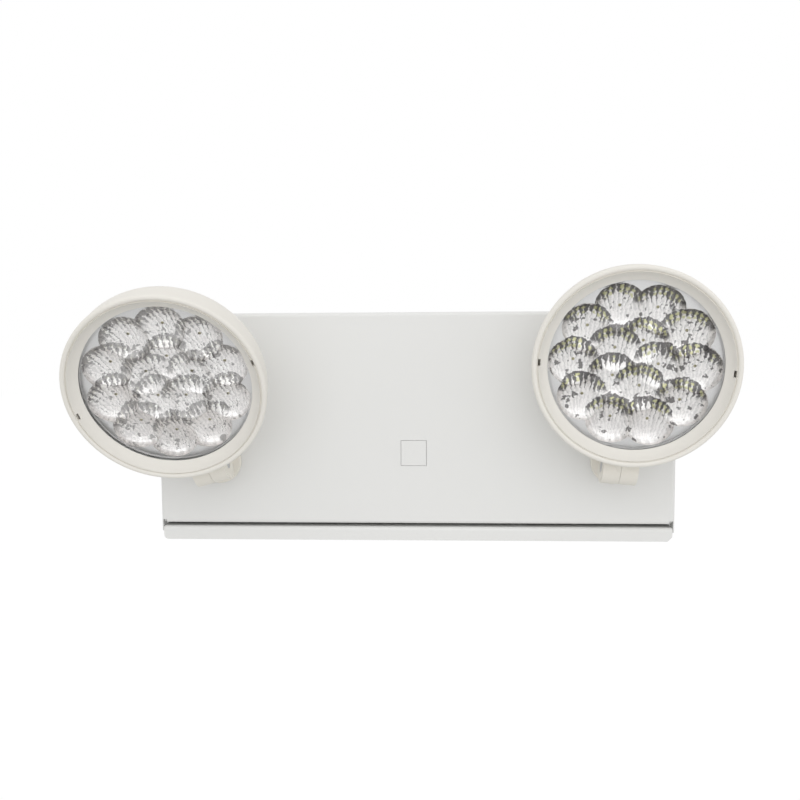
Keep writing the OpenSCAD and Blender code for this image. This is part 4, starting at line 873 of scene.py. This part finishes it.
boardFace = -11.6
rodSides = {"body": 14, "lead": 8}
smallParts = {
    "resistor": {"slot": "plug_nylon", "finish": "plugNylon", "radius": 1.05, "long": 5.6, "edge": 0.35,
        "lead": 0.28, "reach": 4.6, "turn": 0,
        "places": [(61, 10), (61, 14), (61, 18), (61, 22), (61, 26), (80, 10), (80, 14)]},
    "diode": {"slot": "dark_plastic", "finish": "darkPlastic", "radius": 1.3, "long": 4.8, "edge": 0.2,
        "lead": 0.35, "reach": 4.4, "turn": 90,
        "places": [(76, 23), (80, 23), (84, 23), (88, 23)]},
    "chip": {"slot": "dark_plastic", "finish": "darkPlastic", "size": (9.6, 3.4, 6.2), "edge": 0.25,
        "pin": (0.5, 1.6, 0.35), "pitch": 2.54, "pins": 4, "turn": 0,
        "places": [(61, 38), (61, 50), (100, 53)]},
}
# in mm: from a body or a chip to the board, from a body's end in to its lead's start, and from a chip out to a
# pin's middle
partGaps = {"body": 0.25, "chip": 0.35, "leadIn": 0.2, "pinOut": 0.1}


def rodAlong(radius, start, end, sides):
    # a capped rod between two points, in mm
    a, b = Vector(start) * mm, Vector(end) * mm
    selectOnly()
    bpy.ops.mesh.primitive_cylinder_add(vertices=sides, radius=radius * mm, depth=(b - a).length,
        location=(a + b) / 2, rotation=(b - a).to_track_quat("Z", "Y").to_euler())
    return bpy.context.object


def makeBoardRod(kind):
    # a body on two bent leads that reach the board; its own middle is at the origin, the board behind it
    part = smallParts[kind]
    body = rodAlong(part["radius"], (-part["long"] / 2, 0, 0), (part["long"] / 2, 0, 0), rodSides["body"])
    softenEdges(body, part["edge"])
    deep = part["radius"] + partGaps["body"]
    pieces = [body]
    for s in (-1, 1):
        bend = s * part["reach"]
        pieces.append(rodAlong(part["lead"], (s * (part["long"] / 2 - partGaps["leadIn"]), 0, 0), (bend, 0, 0),
            rodSides["lead"]))
        pieces.append(rodAlong(part["lead"], (bend, -part["lead"], 0), (bend, deep, 0), rodSides["lead"]))
    return joinAll(pieces, kind), deep


def makeBoardChip(kind):
    # a flat body with a row of pins on each side that reach the board
    part = smallParts[kind]
    body = makeBlock(part["size"])
    softenEdges(body, part["edge"])
    deep = part["size"][1] / 2 + partGaps["chip"]
    pieces = [body]
    for i in range(part["pins"]):
        for s in (-1, 1):
            pieces.append(makeBlock(part["pin"], ((i - (part["pins"] - 1) / 2) * part["pitch"],
                deep - part["pin"][1] / 2, s * (part["size"][2] / 2 + partGaps["pinOut"]))))
    return joinAll(pieces, kind), deep


def placeBoardParts():
    for kind, part in smallParts.items():
        first, deep = makeBoardChip(kind) if kind == "chip" else makeBoardRod(kind)
        twins = []
        for x, z in part["places"]:
            twin = copyOf(first, kind)
            place = Vector((x, boardFace - deep, z)) * mm
            twin.matrix_world = Matrix.Translation(place) @ turned(part["turn"], "Y")
            twins.append(twin)
        bpy.data.objects.remove(first)
        whole = joinAll(twins, "board_" + kind + "s_look")
        settle(whole, Matrix.Identity(4), "cabinet", part["finish"])


placeBoardParts()
print("board parts made")


# Both heads: each finer piece is made once, and its copies are placed at the heads' own angles

# in mm: the arm's pivot, then the middle of the head's front from there; in degrees: the turn of the bezel's slots
# and the cups about the head's own axis
headLayout = {"pivotOut": 116, "pivotFront": -109, "pivotUp": -20, "forward": 19.5, "rise": 61.3, "frontTurn": 2.5}
headAngles = {
    "left": {"swivel": 15.9, "tilt": 22.7, "pan": -3.9},
    "right": {"swivel": -5.3, "tilt": 9.3, "pan": -3.9},
}
# smooth: the largest angle in degrees that is shaded smooth, none for the facets of the cups
headPieces = {
    "bezel": {"make": makeBezel, "slot": "head_plastic", "finish": "headPlastic", "smooth": 40.0},
    "lens": {"make": makeLens, "slot": "clear_lens", "finish": "clearLens", "smooth": 30.0},
    "optic_cups": {"make": makeOptics, "slot": "optic_bright", "finish": "Optic", "smooth": 0},
    "light_chips": {"make": makeChips, "slot": "chip_yellow", "finish": "chipYellow", "smooth": 40.0},
}


def headPlace(side):
    h = headLayout
    angles = headAngles[side]
    pivot = Vector((sides[side] * h["pivotOut"], h["pivotFront"], h["pivotUp"])) * mm
    lean = turned(-angles["swivel"], "Y") @ turned(angles["tilt"], "X") @ turned(angles["pan"], "Z")
    return Matrix.Translation(pivot) @ lean @ Matrix.Translation(Vector((0, -h["forward"], h["rise"])) * mm)


def dressHeads():
    for name, piece in headPieces.items():
        first = piece["make"]()
        for side in sides:
            twin = copyOf(first, side + "_" + name + "_look")
            place = headPlace(side) @ turned(-headLayout["frontTurn"], "Y")
            own = side + piece["finish"] if side + piece["finish"] in finishes else piece["finish"]
            settle(twin, place, side + "_head", own, piece["smooth"], [side + "_" + name])
        bpy.data.objects.remove(first)
        print(name, "made")


dressHeads()

bpy.context.view_layer.update()
